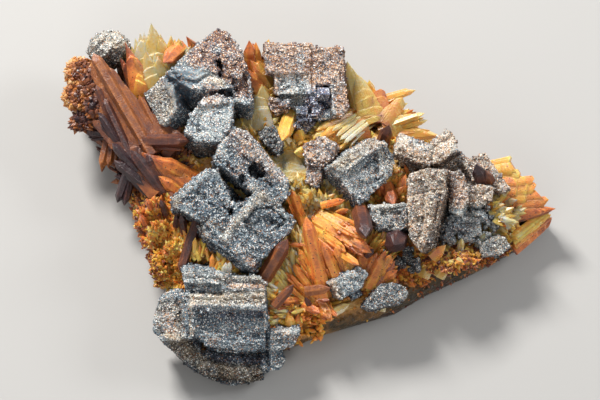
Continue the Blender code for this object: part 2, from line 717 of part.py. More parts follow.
def surface(name):
    """Principled material of one kind of surface."""
    if name in bpy.data.materials:
        return bpy.data.materials[name]
    colour, roughness, metallic = FINISHES[name]
    material = bpy.data.materials.new(name)
    material.use_nodes = True
    shader = material.node_tree.nodes["Principled BSDF"]
    shader.inputs["Base Color"].default_value = (*colour, 1.0)
    shader.inputs["Roughness"].default_value = roughness
    shader.inputs["Metallic"].default_value = metallic
    material.diffuse_color = (*colour, 1.0)
    return material


def add_body(name, mesh, finish):
    """Put a finished body into the scene under its own name."""
    body = bpy.data.objects.new(name, tidy_mesh(mesh, name))
    body.data.materials.append(surface(finish))
    bpy.context.scene.collection.objects.link(body)
    return body


# Bodies from the foremost to the hindmost: each is cut back by those above it in the list
BODIES = [
    ("galena_upper", GALENA_UPPER, "galena_blue"),
    ("galena_top", GALENA_TOP, "galena_rosy"),
    ("galena_centre", GALENA_CENTRE, "galena_grey"),
    ("galena_front", GALENA_FRONT, "galena_grey"),
    ("galena_right_cube", GALENA_RIGHT_CUBE, "galena_grey"),
    ("galena_right_group", GALENA_RIGHT_GROUP, "galena_rosy"),
    ("galena_lower_right", GALENA_LOWER_RIGHT, "galena_blue"),
    ("galena_middle", GALENA_MIDDLE, "galena_rosy"),
    ("galena_diamond", GALENA_DIAMOND, "galena_grey"),
    ("galena_box", GALENA_BOX, "galena_blue"),
    ("galena_knob", GALENA_KNOB, "galena_green"),
    ("galena_dark_crust", GALENA_DARK_CRUST, "galena_grey"),
    ("galena_edge_crust", GALENA_EDGE_CRUST, "galena_green"),
    ("quartz_purple_upright", QUARTZ_PURPLE_UPRIGHT, "quartz_purple"),
    ("quartz_purple_stub", QUARTZ_PURPLE_STUB, "quartz_purple"),
    ("quartz_purple_upper", QUARTZ_PURPLE_UPPER, "quartz_purple"),
    ("quartz_purple_right", QUARTZ_PURPLE_RIGHT, "quartz_purple"),
    ("quartz_pocket", QUARTZ_POCKET, "quartz_orange"),
    ("quartz_red_prism", QUARTZ_RED_PRISM, "quartz_brown"),
    ("quartz_brown_rod", QUARTZ_BROWN_ROD, "quartz_purple"),
    ("quartz_short_prisms", QUARTZ_SHORT_PRISMS, "quartz_orange"),
    ("quartz_gap_prisms", QUARTZ_GAP_PRISMS, "quartz_orange"),
    ("quartz_left_fan", QUARTZ_LEFT_FAN, "quartz_brown"),
    ("quartz_orange_wedges", QUARTZ_ORANGE_WEDGES, "quartz_orange"),
    ("quartz_pale_fan", QUARTZ_PALE_FAN, "quartz_pale"),
    ("quartz_pale_blades", QUARTZ_PALE_BLADES, "quartz_pale"),
    ("quartz_cross_blades", QUARTZ_CROSS_BLADES, "quartz_orange"),
    ("quartz_spray", QUARTZ_SPRAY, "quartz_orange"),
    ("quartz_end_plates", QUARTZ_END_PLATES, "quartz_orange"),
]


def build():
    for item in list(bpy.data.objects):
        bpy.data.objects.remove(item)
    sockets = []
    for name, shapes, finish in BODIES:
        solids = [points for shape in shapes for points in shape.solids()]
        mesh = combine(hull_mesh(solids[0], name), solids[1:], "UNION")
        hollows = [points for shape in shapes for points in shape.hollows()]
        mesh = combine(mesh, hollows + sockets, "DIFFERENCE")
        add_body(name, mesh, finish)
        sockets += [points for shape in shapes for points in shape.solids(GAP)]
    matrix = combine(matrix_body(), druse_solids(), "UNION")
    add_body("quartz_matrix", combine(matrix, sockets, "DIFFERENCE"), "matrix_ochre")


build()
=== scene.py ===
import math

import bmesh
import bpy
import numpy as np
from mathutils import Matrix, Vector


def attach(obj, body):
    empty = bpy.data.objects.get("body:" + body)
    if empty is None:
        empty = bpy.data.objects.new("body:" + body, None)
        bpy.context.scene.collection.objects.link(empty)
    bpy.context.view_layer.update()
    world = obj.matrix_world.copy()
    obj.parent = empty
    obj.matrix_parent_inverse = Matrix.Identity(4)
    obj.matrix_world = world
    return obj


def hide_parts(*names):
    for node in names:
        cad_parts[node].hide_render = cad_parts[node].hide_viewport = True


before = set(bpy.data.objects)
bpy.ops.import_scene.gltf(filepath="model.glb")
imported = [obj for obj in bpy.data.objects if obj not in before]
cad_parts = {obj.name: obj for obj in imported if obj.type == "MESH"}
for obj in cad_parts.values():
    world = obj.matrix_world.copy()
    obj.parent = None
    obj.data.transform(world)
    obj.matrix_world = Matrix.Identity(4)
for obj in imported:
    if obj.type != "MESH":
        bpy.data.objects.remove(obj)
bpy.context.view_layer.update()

# Camera. The specimen is seen from its front edge, from well above: 65 degrees over level.
# Its crystals are placed by where they are seen in a picture 600 points wide, and by a height
# in millimetres, so the lines of sight are worked out here too.
MM = 0.001
PIXEL = 0.2  # mm of the specimen that one point of the picture shows
PICTURE_MIDDLE = (300.0, 200.0)
VIEW_ELEVATION = math.radians(65.0)
VIEW_DISTANCE = 666.7  # mm
LENS = 200.0
FILM = 36.0
NEAREST = 0.01
FURTHEST = 10.0
AIM = np.array([0.0, 0.0, 12.0])
TO_RIGHT = np.array([1.0, 0.0, 0.0])
TO_TOP = np.array([0.0, math.sin(VIEW_ELEVATION), math.cos(VIEW_ELEVATION)])
TO_EYE = np.array([0.0, -math.cos(VIEW_ELEVATION), math.sin(VIEW_ELEVATION)])
EYE = AIM + TO_EYE * VIEW_DISTANCE


def spot(seen, height):
    """Places seen at picture points: the eye plus the line of sight, as far as the height."""
    seen = np.asarray(seen, float)
    right = (seen[..., 0:1] - PICTURE_MIDDLE[0]) * PIXEL
    top = (PICTURE_MIDDLE[1] - seen[..., 1:2]) * PIXEL
    line = AIM + TO_RIGHT * right + TO_TOP * top - EYE
    reach = (np.asarray(height, float) - EYE[2]) / line[..., 2]
    return EYE + line * reach[..., None]


def add_object(name, data):
    """An object of its data at the origin, linked to the scene."""
    added = bpy.data.objects.new(name, data)
    bpy.context.scene.collection.objects.link(added)
    return added


camera = add_object("camera", bpy.data.cameras.new("camera"))
camera.data.lens = LENS
camera.data.sensor_width = FILM
camera.data.clip_start = NEAREST
camera.data.clip_end = FURTHEST
camera.location = Vector(EYE * MM)
camera.rotation_euler = (math.pi / 2.0 - VIEW_ELEVATION, 0.0, 0.0)
bpy.context.scene.camera = camera

# Studio: a pale floor, one large soft lamp from behind and above the left shoulder of the
# specimen, a weaker one from the right and a dim one from the front, with pale air all round.
LAMPS = [
    # name, direction it shines from, distance, side, power, colour
    ("lamp_key", (-0.42, 0.68, 0.80), 0.62, 0.17, 5.8, (1.0, 0.985, 0.96)),
    ("lamp_right", (0.9, 0.25, 0.65), 0.60, 0.20, 1.3, (0.95, 0.98, 1.0)),
    ("lamp_front", (-0.25, -0.85, 0.75), 0.65, 0.35, 0.8, (1.0, 0.99, 0.97)),
]
FLOOR_COLOUR = (0.46, 0.45, 0.435, 1.0)
AIR_COLOUR = (0.88, 0.90, 0.93, 1.0)
AIR_STRENGTH = 0.30
AIM_HEIGHT = 0.012
FLOOR_HALF = 3.0

for name, way, distance, side, power, colour in LAMPS:
    light = bpy.data.lights.new(name, "AREA")
    light.energy = power
    light.color = colour
    light.shape = "SQUARE"
    light.size = side
    lamp = add_object(name, light)
    towards = Vector(way).normalized()
    lamp.location = towards * distance + Vector((0.0, 0.0, AIM_HEIGHT))
    lamp.rotation_euler = towards.to_track_quat("Z", "Y").to_euler()

air = bpy.data.worlds.new("air")
air.use_nodes = True
air.node_tree.nodes["Background"].inputs["Color"].default_value = AIR_COLOUR
air.node_tree.nodes["Background"].inputs["Strength"].default_value = AIR_STRENGTH
bpy.context.scene.world = air
bpy.context.scene.view_settings.view_transform = "Standard"


def new_material(name, roughness, metallic=0.0, ior=1.5):
    """A Principled material with its plain values set on its own sockets."""
    material = bpy.data.materials.new(name)
    material.use_nodes = True
    shader = material.node_tree.nodes["Principled BSDF"]
    shader.inputs["Roughness"].default_value = roughness
    shader.inputs["Metallic"].default_value = metallic
    shader.inputs["IOR"].default_value = ior
    return material, material.node_tree, shader


def add_node(tree, kind, plain=None, **settings):
    """A node of one kind, with its settings, and with plain values on its input sockets."""
    node = tree.nodes.new(kind)
    for key, value in settings.items():
        setattr(node, key, value)
    for key, value in (plain or {}).items():
        node.inputs[key].default_value = value
    return node


def add_ramp(tree, source, stops):
    """A colour ramp fed by a socket; stops are (position, (red, green, blue))."""
    node = add_node(tree, "ShaderNodeValToRGB")
    marks = node.color_ramp.elements
    while len(marks) < len(stops):
        marks.new(0.5)
    for mark, (position, colour) in zip(marks, stops):
        mark.position = position
        mark.color = (*colour, 1.0)
    tree.links.new(source, node.inputs["Fac"])
    return node.outputs["Color"]


def blend_colours(tree, share, first, second, kind="MIX"):
    """Mix of two colours by a share; each may be a socket or a plain colour."""
    node = add_node(tree, "ShaderNodeMix", data_type="RGBA", blend_type=kind)
    for socket, value in ((node.inputs[0], share), (node.inputs[6], first),
                          (node.inputs[7], second)):
        if isinstance(value, bpy.types.NodeSocket):
            tree.links.new(value, socket)
        else:
            socket.default_value = value
    return node.outputs[2]


def sum_values(tree, kind, first, second, third=None, clamp=False):
    """A Math node; each operand may be a socket or a number."""
    node = add_node(tree, "ShaderNodeMath", operation=kind, use_clamp=clamp)
    for place, value in enumerate((first, second, third)):
        if isinstance(value, bpy.types.NodeSocket):
            tree.links.new(value, node.inputs[place])
        elif value is not None:
            node.inputs[place].default_value = value
    return node.outputs[0]


floor_mesh = bpy.data.meshes.new("floor")
floor_mesh.from_pydata([(-FLOOR_HALF, -FLOOR_HALF, 0.0), (FLOOR_HALF, -FLOOR_HALF, 0.0),
                        (FLOOR_HALF, FLOOR_HALF, 0.0), (-FLOOR_HALF, FLOOR_HALF, 0.0)],
                       [], [(0, 1, 2, 3)])
floor = add_object("floor", floor_mesh)
floor_finish, _, floor_shader = new_material("floor_paper", 0.9)
floor_shader.inputs["Base Color"].default_value = FLOOR_COLOUR
floor_mesh.materials.append(floor_finish)

# Matrix. A slab of massive quartz, stained yellow to rust by iron, sawn flat underneath and
# broken along its sides. Its skin follows the solid, with a lumpy, faceted relief on it.
MATRIX_NET = 0.45  # mm between neighbouring places of the skin
MATRIX_FACETS = ((0.40, 2.6, 31), (0.26, 1.2, 57))  # share, size in mm, seed
MATRIX_SLOPE = 0.9
MATRIX_LUMPS = 0.15
MATRIX_RELIEF = 0.8
MATRIX_STAIN = 0.27
LOW_DARK_TOP = 8.5  # mm above the flat where the darkening low down ends: rust film and painted shade


def lattice(cells, seed):
    """Random number from -1 to 1 for each cell, from its three whole numbers and a seed: they
    are multiplied by large primes, and the result is mixed with itself, shifted."""
    key = cells[..., 0] * 73856093 ^ cells[..., 1] * 19349663 ^ cells[..., 2] * 83492791
    key = (key ^ seed * 2654435761) & 0x7FFFFFFF
    key = ((key ^ (key >> 15)) * 2246822519) & 0x7FFFFFFF
    key = ((key ^ (key >> 13)) * 3266489917) & 0x7FFFFFFF
    return (key ^ (key >> 16)) / 1073741824.0 - 1.0


def drift(places, size, seed):
    """Smooth random field from -1 to 1: cell values blended between a cell's eight corners."""
    scaled = places / size
    cell = np.floor(scaled).astype(np.int64)
    part = scaled - cell
    part = part * part * (3.0 - 2.0 * part)
    total = np.zeros(len(places))
    for corner in np.ndindex(2, 2, 2):
        share = np.prod(np.where(np.array(corner), part, 1.0 - part), axis=1)
        total += share * lattice(cell + np.array(corner), seed)
    return total


def cells_round(scaled, seed, loose):
    """The 27 cells round each place, one after another, each with its seat: the cell's middle
    moved at random by up to the loose share."""
    cell = np.floor(scaled).astype(np.int64)
    for shift in np.ndindex(3, 3, 3):
        here = cell + np.array(shift) - 1
        moved = np.stack([lattice(here, seed + axis) for axis in range(3)], 1)
        yield here, here + 0.5 + loose * moved


def facets(places, size, seed, slope):
    """Broken relief: each place belongs to the nearest of the scattered seats, one a cell, and
    rises by the seat's own height plus its distance along the seat's own way, times slope."""
    scaled = places / size
    nearest = np.full(len(places), 1e9)
    rise = np.zeros(len(places))
    for here, seat in cells_round(scaled, seed, 0.45):
        away = scaled - seat
        distance = (away * away).sum(1)
        way = np.stack([lattice(here, seed + 10 + axis) for axis in range(3)], 1)
        value = 0.5 * lattice(here, seed + 20) + slope * (away * way).sum(1)
        closer = distance < nearest
        nearest = np.where(closer, distance, nearest)
        rise = np.where(closer, value, rise)
    return rise


def mesh_arrays(mesh):
    """A mesh's places in millimetres and its three-cornered faces."""
    places = np.empty(len(mesh.vertices) * 3)
    mesh.vertices.foreach_get("co", places)
    mesh.calc_loop_triangles()
    faces = np.empty(len(mesh.loop_triangles) * 3, np.int32)
    mesh.loop_triangles.foreach_get("vertices", faces)
    return places.reshape(-1, 3) / MM, faces.reshape(-1, 3)


def skin_of(node, net):
    """Skin of a CAD node, as places and faces about net wide: a copy of its mesh, with its
    doubles merged, is remeshed on a grid of small boxes."""
    body = bmesh.new()
    body.from_mesh(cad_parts[node].data)
    bmesh.ops.remove_doubles(body, verts=body.verts, dist=1e-6)
    mesh = bpy.data.meshes.new("skin")
    body.to_mesh(mesh)
    body.free()
    carrier = add_object("skin", mesh)
    step = carrier.modifiers.new("skin", "REMESH")
    step.mode = "VOXEL"
    step.voxel_size = net * MM
    depsgraph = bpy.context.evaluated_depsgraph_get()
    result = bpy.data.meshes.new_from_object(carrier.evaluated_get(depsgraph))
    places, faces = mesh_arrays(result)
    bpy.data.objects.remove(carrier)
    bpy.data.meshes.remove(mesh)
    bpy.data.meshes.remove(result)
    return places, faces


def ways_out(places, faces):
    """Outward way at each place: the sum of its faces' cross products, made one long."""
    corners = places[faces]
    across = np.cross(corners[:, 1] - corners[:, 0], corners[:, 2] - corners[:, 0])
    ways = np.zeros_like(places)
    for axis in range(3):
        for corner in range(3):
            ways[:, axis] += np.bincount(faces[:, corner], across[:, axis], len(places))
    return ways / np.maximum(np.linalg.norm(ways, axis=1, keepdims=True), 1e-9)


def patch_field(places, patches):
    """Sum over the patches of strength times exp(-(distance / reach) squared)."""
    field = np.zeros(len(places))
    for seen, height, reach, strength in patches:
        away = ((places - spot(seen, height)) ** 2).sum(1) / (reach * reach)
        field += strength * np.exp(-away)
    return field


def new_piece(name, places, faces, material, marks):
    """Flat-faced mesh object from places in millimetres and three-cornered faces, with a float
    attribute for each mark."""
    mesh = bpy.data.meshes.new(name)
    mesh.vertices.add(len(places))
    mesh.vertices.foreach_set("co", (places * MM).astype(np.float32).ravel())
    mesh.loops.add(faces.size)
    mesh.loops.foreach_set("vertex_index", faces.astype(np.int32).ravel())
    mesh.polygons.add(len(faces))
    mesh.polygons.foreach_set("loop_start", np.arange(0, faces.size, 3, dtype=np.int32))
    mesh.materials.append(material)
    mesh.polygons.foreach_set("use_smooth", np.zeros(len(faces), bool))
    mesh.update(calc_edges=True)
    for mark, values in marks.items():
        layer = mesh.attributes.new(mark, "FLOAT", "POINT")
        layer.data.foreach_set("value", np.asarray(values, np.float32))
    return add_object(name, mesh)


# Iron stain of quartz, from clear and pale yellow through orange to rust and purple-black
STAINS = [
    (0.00, (0.84, 0.83, 0.75)),
    (0.1, (0.92, 0.76, 0.37)),
    (0.24, (0.97, 0.62, 0.13)),
    (0.38, (0.97, 0.43, 0.075)),
    (0.48, (0.88, 0.27, 0.06)),
    (0.6, (0.46, 0.13, 0.045)),
    (0.72, (0.19, 0.06, 0.038)),
    (0.86, (0.085, 0.032, 0.034)),
    (1.00, (0.03, 0.014, 0.02)),
]
# The broken sides of the slab, under rust and olive-green film
EDGE_STAINS = [
    (0.00, (0.72, 0.68, 0.52)),
    (0.16, (0.64, 0.46, 0.18)),
    (0.32, (0.5, 0.23, 0.045)),
    (0.46, (0.23, 0.108, 0.022)),
    (0.58, (0.09, 0.052, 0.015)),
    (0.7, (0.046, 0.033, 0.015)),
    (0.82, (0.085, 0.032, 0.014)),
    (1.00, (0.01, 0.009, 0.007)),
]
# Where the matrix is more or less stained: seen at, height, reach in mm, change of stain
MATRIX_STAINS = [
    ((150, 240), 9, 8.0, 0.16), ((140, 210), 9, 6.0, 0.18), ((165, 280), 8, 5.0, 0.26),
    ((175, 230), 11, 5.0, 0.08), ((110, 150), 11, 9.0, 0.24), ((85, 90), 10, 9.0, 0.22),
    ((350, 255), 12, 6.0, 0.1), ((310, 200), 13, 8.0, -0.14), ((255, 120), 13, 5.0, -0.16),
    ((330, 130), 13, 8.0, -0.04), ((235, 260), 12, 7.0, -0.04), ((370, 110), 13, 6.0, 0.06),
    ((450, 285), 5, 9.0, 0.2), ((400, 308), 4, 9.0, 0.1), ((530, 190), 10, 7.0, 0.1),
    ((380, 262), 11, 4.0, 0.18), ((300, 340), 5, 7.0, 0.00), ((440, 255), 10, 6.0, 0.06),
]

matrix_places, matrix_faces = skin_of("quartz_matrix", MATRIX_NET)
matrix_ways = ways_out(matrix_places, matrix_faces)
matrix_free = np.clip((matrix_places[:, 2] - 0.4) / 1.5, 0.0, 1.0)
matrix_lift = sum(share * facets(matrix_places, size, seed, MATRIX_SLOPE)
                  for share, size, seed in MATRIX_FACETS)
matrix_lift = matrix_lift + MATRIX_LUMPS * drift(matrix_places, 1.0, 71)
matrix_places = matrix_places + matrix_ways * (matrix_lift * matrix_free)[:, None] * MATRIX_RELIEF
matrix_places[:, 2] = np.maximum(matrix_places[:, 2], 0.0)
matrix_stain = MATRIX_STAIN + patch_field(matrix_places, MATRIX_STAINS)
matrix_stain += 0.10 * drift(matrix_places, 5.0, 81) + 0.05 * drift(matrix_places, 1.4, 82)
# Low down the stone is darker, in clouds and on single facets: a rust film, and painted shade on
# the low broken sides
matrix_low = np.clip(1.0 - matrix_places[:, 2] / LOW_DARK_TOP, 0.0, 1.0)
matrix_stain += matrix_low * (0.40 + 0.34 * drift(matrix_places, 2.6, 83)
                              + 0.20 * facets(matrix_places, 0.9, 84, 0.6))

GRID = 0.5  # mm across a cell of the height maps
GRID_EDGE = 56.0  # mm from the middle to their edge
GRID_CELLS = int(2 * GRID_EDGE / GRID)


def grid_cell(x, y):
    """Row and column of the height maps under places."""
    row = np.clip((x + GRID_EDGE) / GRID, 0, GRID_CELLS - 1).astype(int)
    return row, np.clip((y + GRID_EDGE) / GRID, 0, GRID_CELLS - 1).astype(int)


ground_map = np.zeros((GRID_CELLS, GRID_CELLS))
np.maximum.at(ground_map, grid_cell(*matrix_places[:, :2].T), matrix_places[:, 2])
ground_map = np.max([np.roll(ground_map, (row, column), (0, 1))
                     for row in (-1, 0, 1) for column in (-1, 0, 1)], axis=0)


def ground(places):
    """Height of the matrix's top under each place, from the highest skin place near its cell."""
    return ground_map[grid_cell(places[:, 0], places[:, 1])]


def standing(seen):
    """Places on the matrix's top that are seen at picture points: the height is looked up
    again and again until the line of sight and the ground agree."""
    height = np.full(len(seen), 11.0)
    for turn in range(6):
        height = 0.5 * height + 0.5 * np.maximum(ground(spot(seen, height)), 5.0)
    return spot(seen, height)


def carried(places):
    """True for the places that have the matrix's top under them, within 1 mm."""
    return ground(places) > places[:, 2] - 1.0


COARSE_SCALE = 650.0  # cloudy patches of the stain, in cells a metre
SPECK_CELLS = 1900.0  # cells a metre, of which the ones with a high number hold a speck
SPECK_SIZES = (4.2, -1.45)
SPECK_FADE = -9.0
LINE_SCALE = 2.6
NOISE_SHARES = (0.26, 0.18, 0.08)  # of the coarse noise, the fine noise and the growth lines
NOISE_MIDDLE = 0.26
LINE_HEIGHT = 0.8


def quartz_colours(tree, coordinate, fine_scale, specks, stains):
    """Colour of stained quartz, on a ramp: the stain mark, moved by coarse and fine noise and
    by lines across the crystal (a noise of the growth mark alone), and raised in small
    specks. The height for the bump is the fine noise and the lines."""
    mark = add_node(tree, "ShaderNodeAttribute", attribute_name="stain")
    coarse = add_node(tree, "ShaderNodeTexNoise", {"Scale": COARSE_SCALE, "Detail": 3.0})
    fine = add_node(tree, "ShaderNodeTexNoise", {"Scale": fine_scale, "Detail": 2.0})
    tree.links.new(coordinate, coarse.inputs["Vector"])
    tree.links.new(coordinate, fine.inputs["Vector"])
    growth = add_node(tree, "ShaderNodeAttribute", attribute_name="growth")
    lines = add_node(tree, "ShaderNodeTexNoise", noise_dimensions="1D",
                     plain={"Scale": LINE_SCALE, "Detail": 3.0, "Roughness": 0.7})
    tree.links.new(growth.outputs["Fac"], lines.inputs["W"])
    moved = mark.outputs["Fac"]
    for noise, share in zip((coarse, fine, lines), NOISE_SHARES):
        moved = sum_values(tree, "MULTIPLY_ADD", noise.outputs[0], share, moved)
    moved = sum_values(tree, "SUBTRACT", moved, NOISE_MIDDLE)
    dots = add_node(tree, "ShaderNodeTexVoronoi", {"Scale": SPECK_CELLS, "Randomness": 1.0})
    tree.links.new(coordinate, dots.inputs["Vector"])
    own = add_node(tree, "ShaderNodeSeparateColor")
    tree.links.new(dots.outputs["Color"], own.inputs["Color"])
    size = sum_values(tree, "MULTIPLY_ADD", own.outputs[0], *SPECK_SIZES)
    speck = sum_values(tree, "MULTIPLY_ADD", dots.outputs["Distance"], SPECK_FADE, size,
                       clamp=True)
    moved = sum_values(tree, "MULTIPLY_ADD", speck, specks, moved, clamp=True)
    height = sum_values(tree, "MULTIPLY_ADD", lines.outputs[0], LINE_HEIGHT, fine.outputs[0])
    return add_ramp(tree, moved, stains), height


# The same stain under the matt film of the brown fan, duller and pinker
FILM_STAINS = [
    (0.00, (0.72, 0.6, 0.42)),
    (0.3, (0.66, 0.33, 0.1)),
    (0.46, (0.43, 0.145, 0.035)),
    (0.58, (0.235, 0.073, 0.026)),
    (0.7, (0.115, 0.041, 0.029)),
    (0.82, (0.048, 0.022, 0.025)),
    (1.00, (0.024, 0.014, 0.018)),
]
BUMP_DEPTH = 0.00012  # metres
QUARTZ_IOR = 1.544
GLOW_SHARES = (1.0, 0.55, 0.25)  # how far red, green and blue light spread inside


def add_bump(tree, shader, height, strength):
    """Bump on a shader's Normal from a height socket."""
    bump = add_node(tree, "ShaderNodeBump", {"Distance": BUMP_DEPTH, "Strength": strength})
    tree.links.new(height, bump.inputs["Height"])
    tree.links.new(bump.outputs["Normal"], shader.inputs["Normal"])


def quartz_material(name, roughness, glow, glow_reach, clear, fine_scale, bump_strength,
                    specks=0.0, stains=STAINS, shade=1.0):
    """Stained quartz: glow is the share of light that spreads inside, as far as glow_reach mm,
    clear the share that passes through, shade a grey that its colour is multiplied by: painted
    shade that darkens the whole colour."""
    material, tree, shader = new_material(name, roughness, ior=QUARTZ_IOR)
    coordinate = add_node(tree, "ShaderNodeTexCoord").outputs["Object"]
    colour, height = quartz_colours(tree, coordinate, fine_scale, specks, stains)
    colour = blend_colours(tree, 1.0, colour, (shade, shade, shade, 1.0), "MULTIPLY")
    tree.links.new(colour, shader.inputs["Base Color"])
    shader.inputs["Subsurface Weight"].default_value = glow
    shader.inputs["Subsurface Radius"].default_value = GLOW_SHARES
    shader.inputs["Subsurface Scale"].default_value = glow_reach * MM
    shader.inputs["Transmission Weight"].default_value = clear
    add_bump(tree, shader, height, bump_strength)
    return material


matrix_stone = quartz_material("matrix_stone", 0.30, 0.35, 0.8, 0.0, 2600.0, 1.0, specks=0.25,
                               stains=EDGE_STAINS)
matrix = new_piece("matrix_skin", matrix_places, matrix_faces, matrix_stone,
                   {"stain": matrix_stain})
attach(matrix, "root")
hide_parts("quartz_matrix")

# Long quartz crystals. Each is a six-sided prism with a six-faced point, grown in place; its
# faces step in a little towards the point. They stand in sprays, one mass at their roots.
SIDES = 6
BETWEEN = 3  # columns of the grid to one side of the prism
TAPER = 0.12
UNEVEN = 0.022  # share by which the rings and the columns differ in radius
LONGEST_POINT = 0.6  # share of the crystal's length
FACE_SLOPES = (0.86, 1.25)  # of the point's faces, by turns flat and steep
PAINTED_EDGE_LIGHT = (-0.05, 0.02)  # change of the stain mark on the prism's edges and between them: a painted highlight on the edges
ROLL_STEP = 17.0  # degrees from one crystal to the next


def quartz_crystals(prisms, share, seed, rings=14, tip_rings=7, roll=0.0, sink=1.2):
    """Quartz points on a grid of (height up the crystal, angle round it). The radius is that
    of a hexagon, drawn in by steps up the prism, and in the point it is the least of that and
    of six sloping faces: (length - height) times the face's slope over cos(angle from it).
    The point is share times as long as the prism is wide; sink is how deep the foot goes."""
    shake = np.random.RandomState(seed)
    parts = []
    columns = SIDES * BETWEEN
    turn = np.arange(columns) * 2.0 * math.pi / columns
    face_way = (np.arange(SIDES) + 0.5) * 2.0 * math.pi / SIDES
    off = np.cos(turn[:, None] - face_way[None, :])
    hexagon = math.cos(math.pi / SIDES) / np.max(off, axis=1)
    for root, low, tip, high, width, flat, stain in prisms:
        start = spot(root, low)
        end = spot(tip, high)
        length = np.linalg.norm(end - start)
        axis = (end - start) / length
        start = start - axis * sink
        length += sink
        across = np.cross(axis, TO_EYE)
        across /= np.linalg.norm(across)
        upright = np.cross(across, axis)
        point = min(width * share, length * LONGEST_POINT)
        level = np.concatenate([np.linspace(0.0, length - point, rings, endpoint=False),
                                np.linspace(length - point, length, tip_rings)])
        body = 1.0 - TAPER * (level / length) ** 2 + UNEVEN * shake.uniform(-1, 1, len(level))
        ridge = 1.0 + UNEVEN * shake.uniform(-1, 1, columns)
        radius = hexagon[None, :] * body[:, None] * ridge[None, :]
        slopes = (0.5 * width / point) * np.where(np.arange(SIDES) % 2, *FACE_SLOPES)
        slopes = slopes * math.cos(math.pi / SIDES) * shake.uniform(0.9, 1.1, SIDES)
        sloping = (length - level)[:, None, None] * slopes / np.maximum(off, 0.05)[None]
        radius = np.minimum(radius, sloping.min(axis=2) / (0.5 * width))
        turned = turn + math.radians(roll + shake.uniform(-8, 8))
        reach = 0.5 * width * radius[..., None]
        around = (across * np.cos(turned)[:, None] + upright * flat * np.sin(turned)[:, None])
        grid = start + axis * level[:, None, None] + around[None] * reach
        grid[-1] = end
        rows = len(level)
        places = np.concatenate([start[None], grid[:-1].reshape(-1, 3), end[None]])
        here = 1 + np.arange((rows - 2) * columns).reshape(rows - 2, columns)
        after = np.roll(here, -1, axis=1)
        quads = np.stack([here, after, after + columns, here, after + columns, here + columns], -1)
        foot = 1 + np.arange(columns)
        head = 1 + (rows - 2) * columns + np.arange(columns)
        last = len(places) - 1
        base = np.stack([np.zeros(columns, int), np.roll(foot, -1), foot], -1)
        top = np.stack([head, np.roll(head, -1), np.full(columns, last)], -1)
        faces = np.concatenate([base, quads.reshape(-1, 3), top])
        along = np.concatenate([[0.0], np.repeat(level[:-1] / length, columns), [1.0]])
        # Painted highlight: the prism's edges are paler, the faces between them a little darker
        edge = np.where(np.arange(columns) % BETWEEN == 0, *PAINTED_EDGE_LIGHT)
        edge = np.concatenate([[0.0], np.tile(edge, rows - 1), [0.0]])
        marks = {"stain": stain[0] + (stain[1] - stain[0]) * along + edge,
                 "growth": along * length + shake.uniform(0, 60)}
        parts.append((places, faces, marks))
        roll += ROLL_STEP
    return parts


def side_shoots(prisms, count, spread, thin, share, seeds, stain_shift=0.0, drop=(0.2, 1.4)):
    """Thinner crystals beside each crystal of a list, nearly parallel to it and shorter, their
    tips lower by the drop. Of the two seeds one is for where they stand, one for their shape."""
    shake = np.random.RandomState(seeds[0])
    shoots = []
    for root, low, tip, high, width, flat, stain in prisms:
        for turn in range(count):
            move = shake.uniform(-1, 1, 2) * spread
            slant = shake.uniform(-1, 1, 2) * spread * 0.8
            shorter = shake.uniform(0.45, 0.92)
            end = np.array(root) + (np.array(tip) - np.array(root)) * shorter + move + slant
            tall = low + (high - low) * shorter - shake.uniform(*drop)
            lift = shake.uniform(-0.06, 0.10) + stain_shift
            shoots.append((tuple(np.array(root) + move), low - shake.uniform(0.4, 1.6), tuple(end),
                           tall, width * shake.uniform(*thin), flat,
                           (stain[0] + lift, stain[1] + lift)))
    return quartz_crystals(shoots, share, seeds[1], 6, 4)


def quartz_piece(name, parts, material, nodes):
    """Object of one group of quartz crystals, in the place of its solids. The parts, each of
    (places, faces, marks), are joined: the faces' numbers move up by the places before them."""
    shift = np.cumsum([0] + [len(part[0]) for part in parts[:-1]])
    places = np.concatenate([part[0] for part in parts])
    faces = np.concatenate([part[1] + move for part, move in zip(parts, shift)])
    marks = {mark: np.concatenate([part[2][mark] for part in parts]) for mark in parts[0][2]}
    marks["stain"] = marks["stain"] + 0.06 * drift(places, 1.6, 91) + 0.03 * drift(places, 0.6, 92)
    piece = new_piece(name, places, faces, material, marks)
    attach(piece, "root")
    if nodes:
        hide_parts(*nodes)


quartz_brown = quartz_material("quartz_brown", 0.36, 0.25, 0.6, 0.0, 3400.0, 1.0, specks=0.34,
                               stains=FILM_STAINS)
quartz_amber = quartz_material("quartz_amber", 0.36, 0.50, 1.6, 0.10, 3400.0, 0.9, specks=0.52)
# The clear and milky quartz carry painted shade: their colour is multiplied by 0.9 and 0.68
quartz_clear = quartz_material("quartz_clear", 0.32, 0.35, 1.4, 0.35, 2600.0, 0.5, shade=0.9)
quartz_milky = quartz_material("quartz_milky", 0.42, 0.45, 1.2, 0.15, 2600.0, 0.9, specks=0.2,
                               shade=0.68)

